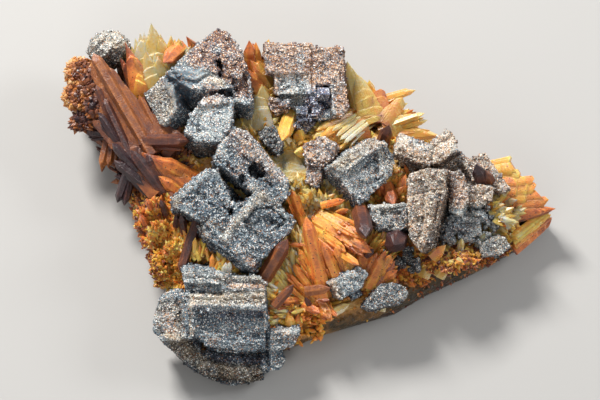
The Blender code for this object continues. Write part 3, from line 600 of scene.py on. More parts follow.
# Brown fan at the left: long prisms stained orange-brown, some under a matt purple film, over
# a red-brown mass of small points. At its outer edge the points make a rounded drusy ball.
# Foot seen at, its height in mm, tip seen at, its height, width, flatness, stain of foot and tip
LEFT_FAN = [
    ((150, 150), 15.0, (93, 53), 21.0, 2.9, 0.9, (0.6, 0.54)),
    ((154, 148), 14.6, (107, 66), 19.5, 2.6, 0.9, (0.64, 0.58)),
    ((158, 134), 15.0, (139, 95), 18.0, 1.6, 1.0, (0.6, 0.56)),
    ((146, 141), 15.5, (190, 141), 18.0, 2.9, 1.0, (0.7, 0.66)),
    ((140, 136), 15.0, (128, 104), 17.2, 1.4, 1.0, (0.72, 0.66)),
    ((130, 160), 12.5, (98, 112), 16.5, 1.9, 1.0, (0.88, 0.84)),
    ((126, 152), 13.0, (96, 84), 17.5, 2.1, 1.0, (0.76, 0.66)),
    ((132, 158), 13.6, (104, 98), 17.8, 1.8, 1.0, (0.8, 0.72)),
    ((160, 187), 12.0, (131, 150), 16.5, 2.8, 1.0, (0.74, 0.82)),
    ((166, 186), 12.2, (146, 154), 16.0, 2.2, 1.0, (0.66, 0.76)),
    ((152, 190), 11.0, (114, 160), 14.5, 2.4, 1.0, (0.86, 0.86)),
    ((148, 184), 11.5, (112, 143), 15.5, 2.0, 1.0, (0.84, 0.88)),
    ((140, 176), 11.5, (120, 148), 14.6, 1.6, 1.0, (0.88, 0.92)),
    ((112, 124), 11.0, (72, 122), 12.5, 2.6, 0.9, (0.8, 0.74)),
    ((108, 128), 11.0, (76, 113), 13.2, 2.0, 0.9, (0.84, 0.8)),
    ((112, 134), 10.0, (84, 132), 11.0, 2.0, 0.9, (0.84, 0.8)),
    ((108, 140), 10.5, (101, 170), 8.4, 2.2, 1.0, (0.66, 0.46)),
    ((112, 142), 10.5, (108, 168), 8.6, 1.8, 1.0, (0.74, 0.52)),
    ((128, 172), 10.0, (117, 203), 7.4, 2.0, 1.0, (0.94, 0.84)),
    ((132, 176), 10.0, (124, 206), 7.0, 1.8, 1.0, (0.92, 0.78)),
]
quartz_piece("left_fan", quartz_crystals(LEFT_FAN, 0.7, 5)
             + side_shoots(LEFT_FAN, 5, 5.0, (0.3, 0.6), 0.9, (6, 7), 0.04),
             quartz_brown, ["quartz_left_fan"])

# Orange wedges below the brown fan: broad, glassy quartz crystals stained right through by
# iron. They grew up from the slab beside the fan, their flat sides turned to the top.
ORANGE_WEDGES = [
    ((192, 190), 11.5, (141, 152), 16.0, 4.4, 0.6, (0.5, 0.64)),
    ((190, 178), 12.0, (152, 158), 17.0, 4.0, 0.6, (0.48, 0.6)),
    ((186, 196), 11.0, (158, 176), 14.6, 3.0, 0.7, (0.42, 0.52)),
]
quartz_piece("orange_wedges", quartz_crystals(ORANGE_WEDGES, 0.85, 8, roll=30.0)
             + side_shoots(ORANGE_WEDGES, 5, 7.0, (0.3, 0.6), 0.8, (9, 9)),
             quartz_amber, ["quartz_orange_wedges"])

# Two single prisms of quartz under a matt brown film of iron: a rod that lies along the twin
# cube's left side, and a red-brown prism that grew up between that cube and the spray.
BROWN_ROD = [((201, 211), 16.5, (180, 272), 13.5, 2.2, 1.0, (0.80, 0.70))]
quartz_piece("brown_rod", quartz_crystals(BROWN_ROD, 0.6, 10), quartz_brown,
             ["quartz_brown_rod"])
RED_PRISM = [((262, 281), 12.5, (288, 239), 19.0, 3.2, 1.0, (0.58, 0.64))]
quartz_piece("red_prism", quartz_crystals(RED_PRISM, 0.6, 11), quartz_brown,
             ["quartz_red_prism"])

# Pale fan at the top: milky, nearly colourless quartz points with yellow feet, grown fanwise
# from the slab beside the large tilted cube. A short orange crystal leans across them.
PALE_FAN = [
    ((156, 78), 12.5, (151, 23), 19.6, 5.6, 0.6, (0.14, 0.06)),
    ((150, 80), 13.0, (144, 32), 18.8, 4.4, 0.6, (0.12, 0.05)),
    ((160, 80), 13.0, (157, 34), 18.6, 4.0, 0.6, (0.16, 0.1)),
    ((146, 80), 12.0, (135, 38), 16.4, 4.0, 0.6, (0.1, 0.05)),
    ((152, 86), 14.0, (146, 50), 19.0, 4.2, 0.6, (0.1, 0.06)),
    ((160, 86), 13.5, (154, 52), 18.6, 3.6, 0.6, (0.12, 0.08)),
    ((170, 78), 12.0, (171, 35), 18.0, 3.0, 0.7, (0.24, 0.22)),
    ((174, 78), 12.0, (179, 38), 17.6, 2.8, 0.7, (0.26, 0.2)),
    ((176, 80), 12.0, (187, 46), 17.0, 3.6, 0.6, (0.18, 0.1)),
    ((200, 54), 14.0, (186, 36), 18.0, 2.6, 1.0, (0.52, 0.56)),
    ((198, 60), 14.0, (192, 40), 17.4, 2.2, 1.0, (0.46, 0.52)),
]
PALE_FAN_ACCENT = [((178, 50), 16.0, (163, 63), 20.5, 3.4, 1.0, (0.44, 0.56))]
quartz_piece("pale_fan", quartz_crystals(PALE_FAN, 1.3, 12)
             + side_shoots(PALE_FAN[:9], 5, 4.0, (0.3, 0.6), 1.0, (13, 13)),
             quartz_milky, ["quartz_pale_fan"])
quartz_piece("pale_fan_accent", quartz_crystals(PALE_FAN_ACCENT, 0.85, 14), quartz_amber, [])

# Blades right of the top plate: flat, pale yellow quartz crystals, clear enough to see into.
# They grew from one root on the slab and cross each other.
PALE_BLADES = [
    ((360, 112), 12.5, (347, 61), 17.0, 3.4, 0.6, (0.3, 0.12)),
    ((366, 112), 12.5, (352, 68), 16.6, 3.2, 0.6, (0.34, 0.14)),
    ((370, 110), 12.0, (359, 76), 16.0, 3.4, 0.6, (0.38, 0.2)),
    ((374, 110), 12.0, (368, 88), 15.0, 3.0, 0.7, (0.42, 0.3)),
    ((362, 106), 13.0, (416, 90), 15.2, 1.6, 1.0, (0.42, 0.26)),
    ((366, 110), 12.6, (404, 95), 14.6, 1.8, 0.9, (0.46, 0.34)),
    ((374, 116), 12.0, (400, 100), 13.8, 2.0, 0.8, (0.48, 0.4)),
    ((384, 114), 12.5, (408, 103), 14.2, 1.9, 0.8, (0.34, 0.16)),
    ((388, 118), 12.3, (410, 110), 13.8, 1.7, 0.8, (0.34, 0.2)),
    ((384, 128), 13.0, (425, 113), 15.5, 1.5, 1.0, (0.36, 0.2)),
    ((394, 130), 12.6, (428, 120), 14.4, 1.3, 1.0, (0.4, 0.18)),
    ((390, 132), 12.0, (440, 136), 13.0, 2.6, 0.8, (0.42, 0.3)),
    ((388, 136), 12.0, (430, 130), 13.2, 2.0, 0.8, (0.44, 0.36)),
    ((368, 118), 13.6, (340, 140), 17.4, 1.1, 0.9, (0.16, 0.04)),
    ((372, 120), 13.4, (344, 143), 17.2, 1.0, 0.9, (0.18, 0.05)),
    ((364, 115), 13.4, (336, 136), 17.2, 1.1, 0.9, (0.2, 0.08)),
    ((360, 113), 13.2, (332, 131), 16.8, 1.2, 0.9, (0.24, 0.1)),
    ((360, 118), 13.0, (317, 140), 16.2, 2.6, 0.7, (0.38, 0.28)),
    ((352, 114), 13.0, (316, 131), 15.8, 2.2, 0.7, (0.4, 0.32)),
]
quartz_piece("pale_blades", quartz_crystals(PALE_BLADES, 1.1, 15)
             + side_shoots(PALE_BLADES, 4, 4.5, (0.3, 0.6), 0.8, (16, 16)),
             quartz_clear, ["quartz_pale_blades"])

# Quartz points between the two top cubes, clear with orange iron stain towards their tips,
# and short, fully orange prisms under the top plate. All stand on the slab in the gaps.
GAP_PRISMS = [
    ((252, 72), 13.5, (249, 40), 18.5, 3.0, 0.8, (0.36, 0.56)),
    ((256, 70), 13.5, (256, 42), 18.0, 2.4, 0.8, (0.3, 0.4)),
    ((262, 72), 12.5, (269, 39), 17.5, 1.8, 1.0, (0.24, 0.3)),
    ((264, 98), 13.0, (237, 66), 20.0, 4.2, 0.9, (0.36, 0.62)),
    ((268, 88), 13.0, (250, 60), 19.0, 3.8, 0.9, (0.28, 0.5)),
    ((268, 84), 13.0, (258, 60), 18.4, 2.6, 1.0, (0.26, 0.42)),
    ((262, 112), 13.0, (262, 84), 17.4, 4.0, 0.8, (0.14, 0.16)),
    ((254, 124), 12.5, (262, 98), 16.5, 4.4, 0.8, (0.08, 0.1)),
    ((250, 128), 12.5, (250, 104), 16.4, 3.8, 0.8, (0.1, 0.12)),
]
quartz_piece("gap_prisms", quartz_crystals(GAP_PRISMS, 0.85, 17)
             + side_shoots(GAP_PRISMS, 3, 4.0, (0.3, 0.55), 0.8, (18, 18)),
             quartz_clear, ["quartz_gap_prisms"])
SHORT_PRISMS = [
    ((290, 118), 14.5, (282, 141), 19.0, 3.2, 1.0, (0.24, 0.4)),
    ((306, 152), 14.0, (294, 153), 17.0, 2.6, 1.0, (0.22, 0.26)),
    ((300, 138), 13.0, (300, 128), 16.0, 3.0, 1.0, (0.28, 0.26)),
]
quartz_piece("short_prisms", quartz_crystals(SHORT_PRISMS, 0.85, 19), quartz_amber,
             ["quartz_short_prisms"])

# Orange spray in the middle of the front: glassy quartz prisms, so full of iron stain that
# they glow. They fan out from one root on the slab, round one long prism.
SPRAY = [
    ((323, 292), 11.0, (306, 216), 21.5, 3.0, 0.9, (0.44, 0.5)),
    ((340, 286), 11.0, (321, 241), 17.5, 2.4, 0.9, (0.42, 0.5)),
    ((352, 274), 11.5, (334, 246), 16.5, 2.4, 0.9, (0.38, 0.46)),
    ((316, 296), 10.5, (293, 264), 14.5, 1.8, 1.0, (0.4, 0.44)),
    ((314, 300), 10.0, (285, 272), 13.0, 1.6, 1.0, (0.36, 0.42)),
    ((318, 288), 11.0, (298, 248), 15.5, 1.6, 1.0, (0.4, 0.44)),
    ((370, 282), 10.5, (386, 250), 15.5, 3.4, 0.7, (0.48, 0.54)),
    ((362, 280), 10.5, (363, 248), 15.0, 3.0, 0.7, (0.42, 0.5)),
    ((318, 300), 10.0, (332, 321), 11.0, 2.8, 0.7, (0.46, 0.52)),
    ((300, 300), 9.5, (275, 303), 12.0, 2.0, 1.0, (0.44, 0.6)),
]
quartz_piece("spray", quartz_crystals(SPRAY, 0.85, 20)
             + side_shoots(SPRAY[1:], 5, 7.0, (0.4, 0.8), 0.8, (21, 21))
             + side_shoots(SPRAY[1:], 7, 6.0, (0.18, 0.4), 0.8, (28, 28), 0.02, (-1.2, 0.4)),
             quartz_amber, ["quartz_spray"])

# Cross blades behind the spray: orange quartz crystals that grew out of the same ground, but
# across it, with many thin ones between them.
CROSS_BLADES = [
    ((320, 222), 13.5, (372, 253), 17.6, 3.0, 0.7, (0.4, 0.56)),
    ((324, 216), 13.5, (364, 238), 18.0, 2.6, 0.7, (0.38, 0.5)),
    ((302, 222), 13.0, (291, 189), 19.0, 1.8, 1.0, (0.4, 0.5)),
    ((318, 232), 13.0, (346, 252), 16.6, 2.2, 0.8, (0.32, 0.48)),
]
quartz_piece("cross_blades", quartz_crystals(CROSS_BLADES, 0.85, 22)
             + side_shoots(CROSS_BLADES, 4, 6.0, (0.35, 0.7), 0.8, (23, 23))
             + side_shoots(CROSS_BLADES, 14, 6.0, (0.15, 0.36), 0.8, (29, 29), 0.0, (-1.6, 0.2)),
             quartz_amber, ["quartz_cross_blades"])

# Right end: flat crystals of yellow and orange quartz, grown side by side and stacked on each
# other like slats, with a few growth steps across them.
PLATE_GRID = (46, 11)
STEP_SHARPNESS = 0.8  # share of a step's height that falls in one row of the grid
LINE_SHARPNESS = 45.0  # plate lengths over the width of the pale line at a step, a painted highlight along the step's edge
ARCH = 0.30  # share by which a plate's top falls towards its long edges


def stepped_plates(plates, seed, steps=(3, 6), drop=0.6):
    """Flat crystals on a grid of (along, across). The top is the thickness, less drop times
    the share of the steps already passed; the half width falls by taper times the place along
    to the power 1.4, and each step has its own width too."""
    shake = np.random.RandomState(seed)
    parts = []
    rows, columns = PLATE_GRID
    for root, low, tip, high, width, thick, taper, stain in plates:
        start, end = spot(root, low), spot(tip, high)
        length = np.linalg.norm(end - start)
        axis = (end - start) / length
        across = np.cross(axis, TO_EYE)
        across /= np.linalg.norm(across)
        upright = np.cross(across, axis)
        along, side = np.meshgrid(np.linspace(0, 1, rows), np.linspace(-1, 1, columns),
                                  indexing="ij")
        edges = np.sort(shake.uniform(0.08, 1.0, shake.randint(*steps)))
        past_edge = (along + shake.uniform(-0.12, 0.12) * side)[..., None] - edges
        level = np.clip(past_edge * rows * STEP_SHARPNESS, 0.0, 1.0).mean(-1)
        near_edge = np.exp(-(past_edge * LINE_SHARPNESS) ** 2).max(-1)
        top = thick * (1.0 - drop * level) * (1.0 - ARCH * side ** 2)
        own = shake.uniform(0.86, 1.0, len(edges) + 1)[(past_edge > 0).sum(-1)]
        half = 0.5 * width * (1.0 - taper * along ** 1.4) * own
        reach = along * length * (1.0 - 0.10 * np.abs(side - shake.uniform(-0.6, 0.6)))
        flat = start + axis * reach[..., None] + across * (side * half)[..., None]
        upper = flat + upright * top[..., None]
        lower = flat - upright * (0.5 * thick)
        places = np.concatenate([upper.reshape(-1, 3), lower.reshape(-1, 3)])
        here = np.arange(rows * columns).reshape(rows, columns)
        a, b, c, d = here[:-1, :-1], here[1:, :-1], here[1:, 1:], here[:-1, 1:]
        sheet = np.concatenate([np.stack([a, d, c], -1).reshape(-1, 3),
                                np.stack([a, c, b], -1).reshape(-1, 3)])
        rim = np.concatenate([here[:, 0], here[-1, 1:], here[-2::-1, -1], here[0, -2:0:-1]])
        after = np.roll(rim, -1)
        low_rim, low_after = rim + rows * columns, after + rows * columns
        wall = np.concatenate([np.stack([rim, low_rim, low_after], -1),
                               np.stack([rim, low_after, after], -1)])
        faces = np.concatenate([sheet[:, ::-1], sheet + rows * columns, wall[:, ::-1]])
        # The pale line along each step is a painted highlight
        shown = stain[0] + (stain[1] - stain[0]) * along - 0.07 * near_edge
        shown += 0.05 * shake.uniform(-1, 1, len(edges) + 1)[(past_edge > 0).sum(-1)]
        growth = (side * half * 1.5 + shake.uniform(0, 60)).ravel()
        marks = {"stain": np.concatenate([shown.ravel(), shown.ravel() + 0.1]),
                 "growth": np.concatenate([growth, growth])}
        parts.append((places, faces, marks))
    return parts


# Foot seen at, its height, tip seen at, its height, width, thickness, taper, stain
END_PLATES = [
    ((484, 168), 10.4, (512, 161), 12.4, 2.6, 1.5, 0.05, (0.43, 0.27)),
    ((484, 174), 10.2, (517, 169), 12.1, 3.4, 1.6, 0.05, (0.41, 0.33)),
    ((486, 181), 10.0, (521, 176), 11.6, 3.6, 1.6, 0.1, (0.45, 0.35)),
    ((488, 188), 9.8, (535, 182), 11.2, 3.6, 1.6, 0.15, (0.47, 0.41)),
    ((490, 194), 9.4, (537, 189), 10.7, 3.6, 1.6, 0.1, (0.43, 0.43)),
    ((492, 201), 9.0, (544, 196), 10.1, 3.6, 1.6, 0.2, (0.49, 0.45)),
    ((494, 207), 8.4, (549, 202), 9.4, 3.6, 1.6, 0.25, (0.51, 0.49)),
    ((500, 214), 7.8, (556, 208), 9.0, 4.4, 1.4, 0.8, (0.57, 0.49)),
    ((506, 220), 6.8, (552, 211), 7.6, 2.6, 1.2, 0.7, (0.67, 0.63)),
    ((510, 238), 5.8, (546, 210), 7.0, 1.3, 1.1, 0.1, (0.36, 0.46)),
    ((512, 241), 5.6, (548, 212), 6.7, 1.2, 1.2, 0.1, (0.22, 0.34)),
    ((513, 244), 5.3, (550, 214), 6.4, 1.2, 1.2, 0.1, (0.28, 0.4)),
    ((514, 247), 5.0, (551, 217), 6.0, 1.2, 1.2, 0.1, (0.4, 0.56)),
    ((514, 251), 4.4, (552, 220), 5.0, 2.0, 1.1, 0.3, (0.5, 0.58)),
    ((500, 222), 7.6, (520, 206), 9.2, 2.4, 1.2, 0.2, (0.34, 0.44)),
]
quartz_piece("end_plates", stepped_plates(END_PLATES, 24, (2, 5), 0.35), quartz_amber,
             ["quartz_end_plates"])

# Tapered plates of quartz: the glowing wedge behind the brown fan, the flat crystals that grew
# between its prisms, and the pale fan's broad crystals with toothed edges.
WEDGE_PLATES = [
    ((144, 92), 13.8, (124, 41), 19.6, 5.4, 1.6, 0.92, (0.4, 0.62)),
    ((150, 93), 13.4, (133, 58), 18.2, 4.2, 1.4, 0.8, (0.36, 0.52)),
    ((134, 84), 13.8, (120, 58), 17.8, 2.8, 1.2, 0.8, (0.6, 0.74)),
    ((142, 96), 14.4, (139, 74), 17.8, 3.4, 1.2, 0.6, (0.44, 0.4)),
]
quartz_piece("fan_wedge", stepped_plates(WEDGE_PLATES, 33, (1, 3), 0.3), quartz_amber, [])
BROWN_PLATES = [
    ((156, 150), 14.0, (90, 58), 18.4, 7.0, 1.4, 0.4, (0.59, 0.55)),
    ((146, 156), 13.4, (96, 90), 15.8, 6.6, 1.4, 0.4, (0.65, 0.57)),
    ((150, 168), 12.4, (96, 118), 14.4, 6.4, 1.4, 0.5, (0.69, 0.63)),
    ((164, 188), 11.6, (116, 140), 14.4, 7.4, 1.4, 0.5, (0.57, 0.69)),
    ((178, 150), 13.6, (140, 112), 15.6, 6.0, 1.4, 0.4, (0.59, 0.63)),
]
quartz_piece("brown_plates", stepped_plates(BROWN_PLATES, 36, (2, 5), 0.3), quartz_brown, [])
FAN_PLATES = [
    ((156, 80), 13.4, (151, 23), 19.2, 9.0, 1.6, 0.97, (0.18, 0.12)),
    ((148, 82), 13.0, (140, 33), 18.0, 7.0, 1.4, 0.9, (0.16, 0.1)),
    ((164, 78), 13.2, (160, 34), 18.4, 7.0, 1.4, 0.9, (0.22, 0.16)),
    ((171, 76), 13.2, (171, 37), 17.6, 5.4, 1.3, 0.85, (0.28, 0.26)),
    ((178, 74), 13.0, (180, 40), 17.2, 5.0, 1.3, 0.8, (0.3, 0.2)),
    ((184, 72), 13.0, (190, 46), 16.8, 5.4, 1.2, 0.85, (0.22, 0.16)),
    ((142, 86), 12.6, (132, 46), 16.4, 5.4, 1.2, 0.9, (0.14, 0.1)),
    ((152, 92), 14.2, (146, 50), 18.8, 5.6, 1.3, 0.9, (0.16, 0.1)),
    ((162, 88), 14.0, (158, 56), 18.2, 5.4, 1.2, 0.85, (0.18, 0.12)),
]
quartz_piece("fan_plates", stepped_plates(FAN_PLATES, 34, (2, 5), 0.3), quartz_milky, [])

# Broad quartz plates that the pale blades are grown into, glowing yellow-orange, and three
# greenish clear ones that stand in the gaps between the cubes.
MASS_PLATES = [
    ((374, 124), 13.0, (356, 76), 15.6, 6.4, 1.6, 0.7, (0.34, 0.14)),
    ((380, 124), 13.0, (378, 90), 14.4, 5.4, 1.6, 0.4, (0.56, 0.44)),
    ((370, 120), 13.2, (366, 96), 14.8, 4.6, 1.5, 0.4, (0.48, 0.3)),
    ((384, 126), 13.0, (402, 98), 14.2, 5.0, 1.5, 0.6, (0.46, 0.26)),
    ((384, 130), 12.6, (416, 116), 13.8, 4.6, 1.4, 0.6, (0.4, 0.22)),
    ((366, 128), 12.8, (322, 142), 15.0, 5.0, 1.4, 0.6, (0.4, 0.28)),
    ((300, 186), 12.8, (288, 150), 14.2, 5.2, 1.4, 0.3, (0.14, 0.16)),
    ((290, 180), 12.4, (277, 152), 13.8, 4.0, 1.3, 0.3, (0.12, 0.14)),
    ((262, 130), 12.8, (258, 94), 16.2, 5.2, 1.5, 0.4, (0.1, 0.14)),
]
quartz_piece("blade_mass", stepped_plates(MASS_PLATES, 35, (3, 6), 0.4), quartz_milky, [])

# Single quartz crystals under a matt, purple-brown film of iron ore. Each grew up alone from
# the slab; the right one is a pair, grown together at the foot.
PURPLE = [
    ("purple_upright", [((361, 214), 16.0, (366, 237), 22.0, 3.6, 1.0, (0.62, 0.80))]),
    ("purple_stub", [((397, 238), 12.5, (394, 245), 20.0, 4.8, 1.0, (0.76, 0.82))]),
    ("purple_upper", [((382, 144), 12.5, (389, 125), 18.0, 2.8, 1.0, (0.54, 0.74))]),
    ("purple_right", [((483, 186), 14.0, (476, 164), 20.0, 2.8, 1.0, (0.74, 0.84)),
                      ((490, 184), 14.0, (485, 170), 18.0, 2.4, 1.0, (0.6, 0.64))]),
]
for name, prisms in PURPLE:
    quartz_piece(name, quartz_crystals(prisms, 0.7, 26), quartz_brown, ["quartz_" + name])

# Pocket between the right cubes: three small orange quartz crystals, grown up from the floor
# of the gap and leaning on the galena.
POCKET = [
    ((388, 188), 13.5, (394, 206), 17.4, 2.7, 1.0, (0.56, 0.64)),
    ((402, 192), 13.0, (406, 174), 16.4, 2.9, 0.9, (0.3, 0.56)),
    ((380, 192), 13.0, (379, 182), 16.6, 2.1, 1.0, (0.58, 0.62)),
]
quartz_piece("pocket_crystals", quartz_crystals(POCKET, 0.85, 27), quartz_amber,
             ["quartz_pocket"])

# Fine quartz. Thousands of needles and stubby points cover the matrix between the large
# crystals: pale needles that fan out in the middle, sparkling orange points down the left
# edge, and drusy bits along the front.
NEEDLE_FACES = np.array(
    [(k, (k + 1) % 6, (k + 1) % 6 + 6) for k in range(6)]
    + [(k, (k + 1) % 6 + 6, k + 6) for k in range(6)]
    + [(k + 6, (k + 1) % 6 + 6, 12) for k in range(6)]
    + [(0, k + 1, k) for k in range(1, 5)])
NEEDLE_PLACES = 13  # six at the root, six at the shoulder and the tip
NEEDLE_STAIN = np.concatenate([np.full(6, -0.05), np.full(6, 0.03), [0.05]])
SHOULDER = 0.92  # width where the point starts, as a share of that at the root


def needles(roots, ways, lengths, widths, flats, share, shake):
    """Small quartz points, all at once: a six-cornered ring at the root, one where the point
    starts, and the tip. Each ring is the root plus cos and sin of the corner's angle along two
    ways across the crystal."""
    count = len(roots)
    ways = ways / np.linalg.norm(ways, axis=1, keepdims=True)
    aside = np.cross(ways, shake.normal(size=(count, 3)))
    aside /= np.linalg.norm(aside, axis=1, keepdims=True)
    other = np.cross(ways, aside)
    turn = np.arange(6) * math.pi / 3.0
    ring = (aside[:, None, :] * np.cos(turn)[None, :, None]
            + other[:, None, :] * (np.sin(turn)[None, :, None] * flats[:, None, None]))
    ring = ring * (0.5 * widths)[:, None, None]
    point = np.minimum(widths * share, lengths * 0.7)
    shoulder = roots + ways * (lengths - point)[:, None]
    lean = (aside * shake.uniform(-0.2, 0.2, count)[:, None]) * widths[:, None]
    tip = roots + ways * lengths[:, None] + lean
    places = np.concatenate([roots[:, None] + ring, shoulder[:, None] + ring * SHOULDER,
                             tip[:, None]], axis=1)
    faces = NEEDLE_FACES[None] + NEEDLE_PLACES * np.arange(count)[:, None, None]
    return places.reshape(-1, 3), faces.reshape(-1, 3)


def needle_field(corners, count, heart, jitter, length, width, rise, stain, seed, share=0.9):
    """Needles rooted in a four-cornered patch, seen at its corners, where there is matrix under
    it; they point away from the heart, turned by jitter degrees and raised by rise degrees."""
    shake = np.random.RandomState(seed)
    u, v = shake.uniform(0, 1, (2, count, 1))
    quad = [np.array(corner, float) for corner in corners]
    seen = (quad[0] * (1 - u) + quad[1] * u) * (1 - v) + (quad[3] * (1 - u) + quad[2] * u) * v
    roots = standing(seen)
    held = carried(roots)
    seen, roots = seen[held], roots[held]
    count = len(roots)
    away = spot(seen, 10.0) - spot(np.array(heart, float), 10.0)
    turn = np.arctan2(away[:, 1], away[:, 0]) + np.radians(shake.uniform(-jitter, jitter, count))
    tilt = np.radians(shake.uniform(rise[0], rise[1], count))
    ways = np.stack([np.cos(turn) * np.cos(tilt), np.sin(turn) * np.cos(tilt), np.sin(tilt)], 1)
    lengths = shake.uniform(length[0], length[1], count)
    widths = shake.uniform(width[0], width[1], count)
    roots = roots - ways * 0.4
    roots[:, 2] -= 0.2
    places, faces = needles(roots, ways, lengths, widths, shake.uniform(0.6, 1.0, count), share,
                            shake)
    level = shake.uniform(stain[0], stain[1], count)
    stains = np.repeat(level, NEEDLE_PLACES) + np.tile(NEEDLE_STAIN, count)
    return places, faces, {"stain": stains}


# Corners seen at, count, heart seen at, jitter, lengths, widths, rise, stains
FIELDS_CLEAR = [
    (((284, 174), (346, 184), (348, 222), (292, 226)), 420, (320, 250), 60, (0.8, 2.2),
     (0.7, 1.6), (15, 75), (0.02, 0.28)),
    (((290, 214), (348, 214), (350, 245), (300, 252)), 150, (334, 264), 22, (1.6, 3.6),
     (0.6, 1.2), (8, 30), (0.12, 0.34)),
    (((134, 56), (184, 54), (184, 95), (138, 95)), 110, (162, 98), 25, (1.2, 3.0),
     (0.6, 1.4), (35, 75), (0.04, 0.26)),
    (((246, 45), (268, 45), (285, 150), (252, 140)), 110, (262, 150), 50, (1.5, 3.5),
     (0.7, 1.6), (30, 75), (0.08, 0.4)),
    (((350, 92), (420, 112), (396, 138), (335, 148)), 220, (372, 130), 25, (1.4, 3.6),
     (0.6, 1.3), (5, 40), (0.24, 0.46)),
    (((268, 130), (300, 140), (312, 178), (280, 180)), 90, (310, 210), 20, (2.0, 4.2),
     (1.0, 2.2), (5, 25), (0.1, 0.22)),
    (((484, 190), (512, 184), (522, 214), (498, 240)), 90, (480, 215), 35, (1.2, 2.8),
     (0.8, 1.9), (10, 50), (0.02, 0.22)),
    (((262, 115), (345, 118), (335, 152), (288, 150)), 110, (330, 120), 50, (1.5, 3.6),
     (0.6, 1.4), (20, 60), (0.1, 0.36)),
    (((420, 235), (500, 205), (520, 240), (440, 268)), 120, (470, 205), 70, (0.8, 2.2),
     (0.5, 1.2), (15, 80), (0.04, 0.34)),
    (((222, 262), (250, 272), (262, 296), (226, 282)), 60, (250, 300), 40, (1.5, 3.5),
     (0.5, 1.2), (20, 60), (0.02, 0.14)),
]
FIELDS_AMBER = [
    (((188, 222), (262, 262), (262, 300), (184, 288)), 260, (205, 300), 35, (2.0, 4.4),
     (0.7, 1.4), (12, 42), (0.26, 0.44)),
    (((258, 262), (306, 238), (314, 300), (262, 332)), 300, (312, 312), 22, (2.0, 4.6),
     (0.5, 1.2), (8, 36), (0.04, 0.28)),
    (((300, 248), (392, 236), (386, 284), (308, 314)), 320, (332, 304), 25, (2.2, 5.5),
     (0.5, 1.4), (10, 45), (0.18, 0.44)),
    (((262, 300), (336, 306), (318, 338), (270, 350)), 170, (300, 300), 60, (1.2, 3.0),
     (0.6, 1.4), (15, 70), (0.24, 0.46)),
    (((127, 190), (190, 196), (192, 290), (158, 292)), 1500, (178, 250), 80, (0.7, 1.9),
     (0.4, 1.0), (25, 85), (0.18, 0.47)),
    (((126, 192), (140, 194), (168, 292), (158, 292)), 320, (178, 250), 60, (0.7, 1.8),
     (0.5, 1.2), (20, 70), (0.46, 0.72)),
    (((130, 190), (184, 194), (186, 214), (140, 216)), 200, (170, 240), 80, (0.8, 2.0),
     (0.5, 1.2), (20, 80), (0.44, 0.62)),
    (((372, 178), (412, 170), (410, 215), (370, 212)), 70, (392, 200), 90, (1.0, 2.8),
     (0.7, 1.5), (20, 80), (0.2, 0.56)),
    (((366, 240), (440, 246), (425, 285), (340, 300)), 300, (390, 240), 80, (0.8, 2.2),
     (0.6, 1.4), (15, 80), (0.3, 0.58)),
    (((424, 246), (512, 238), (508, 260), (418, 284)), 620, (470, 215), 70, (0.5, 1.5),
     (0.35, 0.9), (10, 80), (0.3, 0.78)),
    (((354, 84), (396, 94), (412, 126), (350, 126)), 420, (378, 130), 60, (0.8, 2.2),
     (0.6, 1.5), (20, 80), (0.34, 0.58)),
]
FIELDS_BROWN = [
    (((88, 70), (150, 62), (190, 190), (116, 190)), 620, (160, 175), 22, (1.6, 4.6),
     (0.7, 1.5), (8, 45), (0.5, 0.78)),
    (((74, 106), (112, 110), (150, 190), (112, 196)), 360, (150, 160), 40, (0.8, 2.2),
     (0.6, 1.3), (15, 70), (0.62, 0.98)),
    (((100, 150), (135, 170), (150, 205), (118, 205)), 160, (130, 140), 30, (1.0, 2.6),
     (0.6, 1.2), (10, 60), (0.66, 0.98)),
    (((140, 150), (190, 150), (190, 200), (150, 196)), 160, (160, 175), 90, (0.8, 2.0),
     (0.5, 1.1), (20, 80), (0.4, 0.62)),
]
for name, fields, finish, slot in (("clear_needles", FIELDS_CLEAR, quartz_clear, "quartz_pale"),
                                   ("amber_needles", FIELDS_AMBER, quartz_amber, "quartz_orange"),
                                   ("brown_needles", FIELDS_BROWN, quartz_brown, "quartz_brown")):
    quartz_piece(name, [needle_field(*field, seed=300 + len(name) + place)
                        for place, field in enumerate(fields)], finish, [])

# Small single quartz crystals that stand out of the fine quartz, each grown on the matrix:
# orange and purple ones among the needles, bluish-white and yellow-green ones by the galena.
def small_crystals(crystals, seed):
    """Quartz points rooted on the matrix where they are seen; the tip is higher by the rise."""
    roots = standing(np.array([crystal[0] for crystal in crystals], float))
    listed = []
    for (seen, tip, rise, lift, *form), root, held in zip(crystals, roots, carried(roots)):
        if held:
            listed.append((seen, root[2] + lift, tip, root[2] + lift + rise, *form))
    return quartz_crystals(listed, 0.8, seed, 8, 5, sink=0.6)


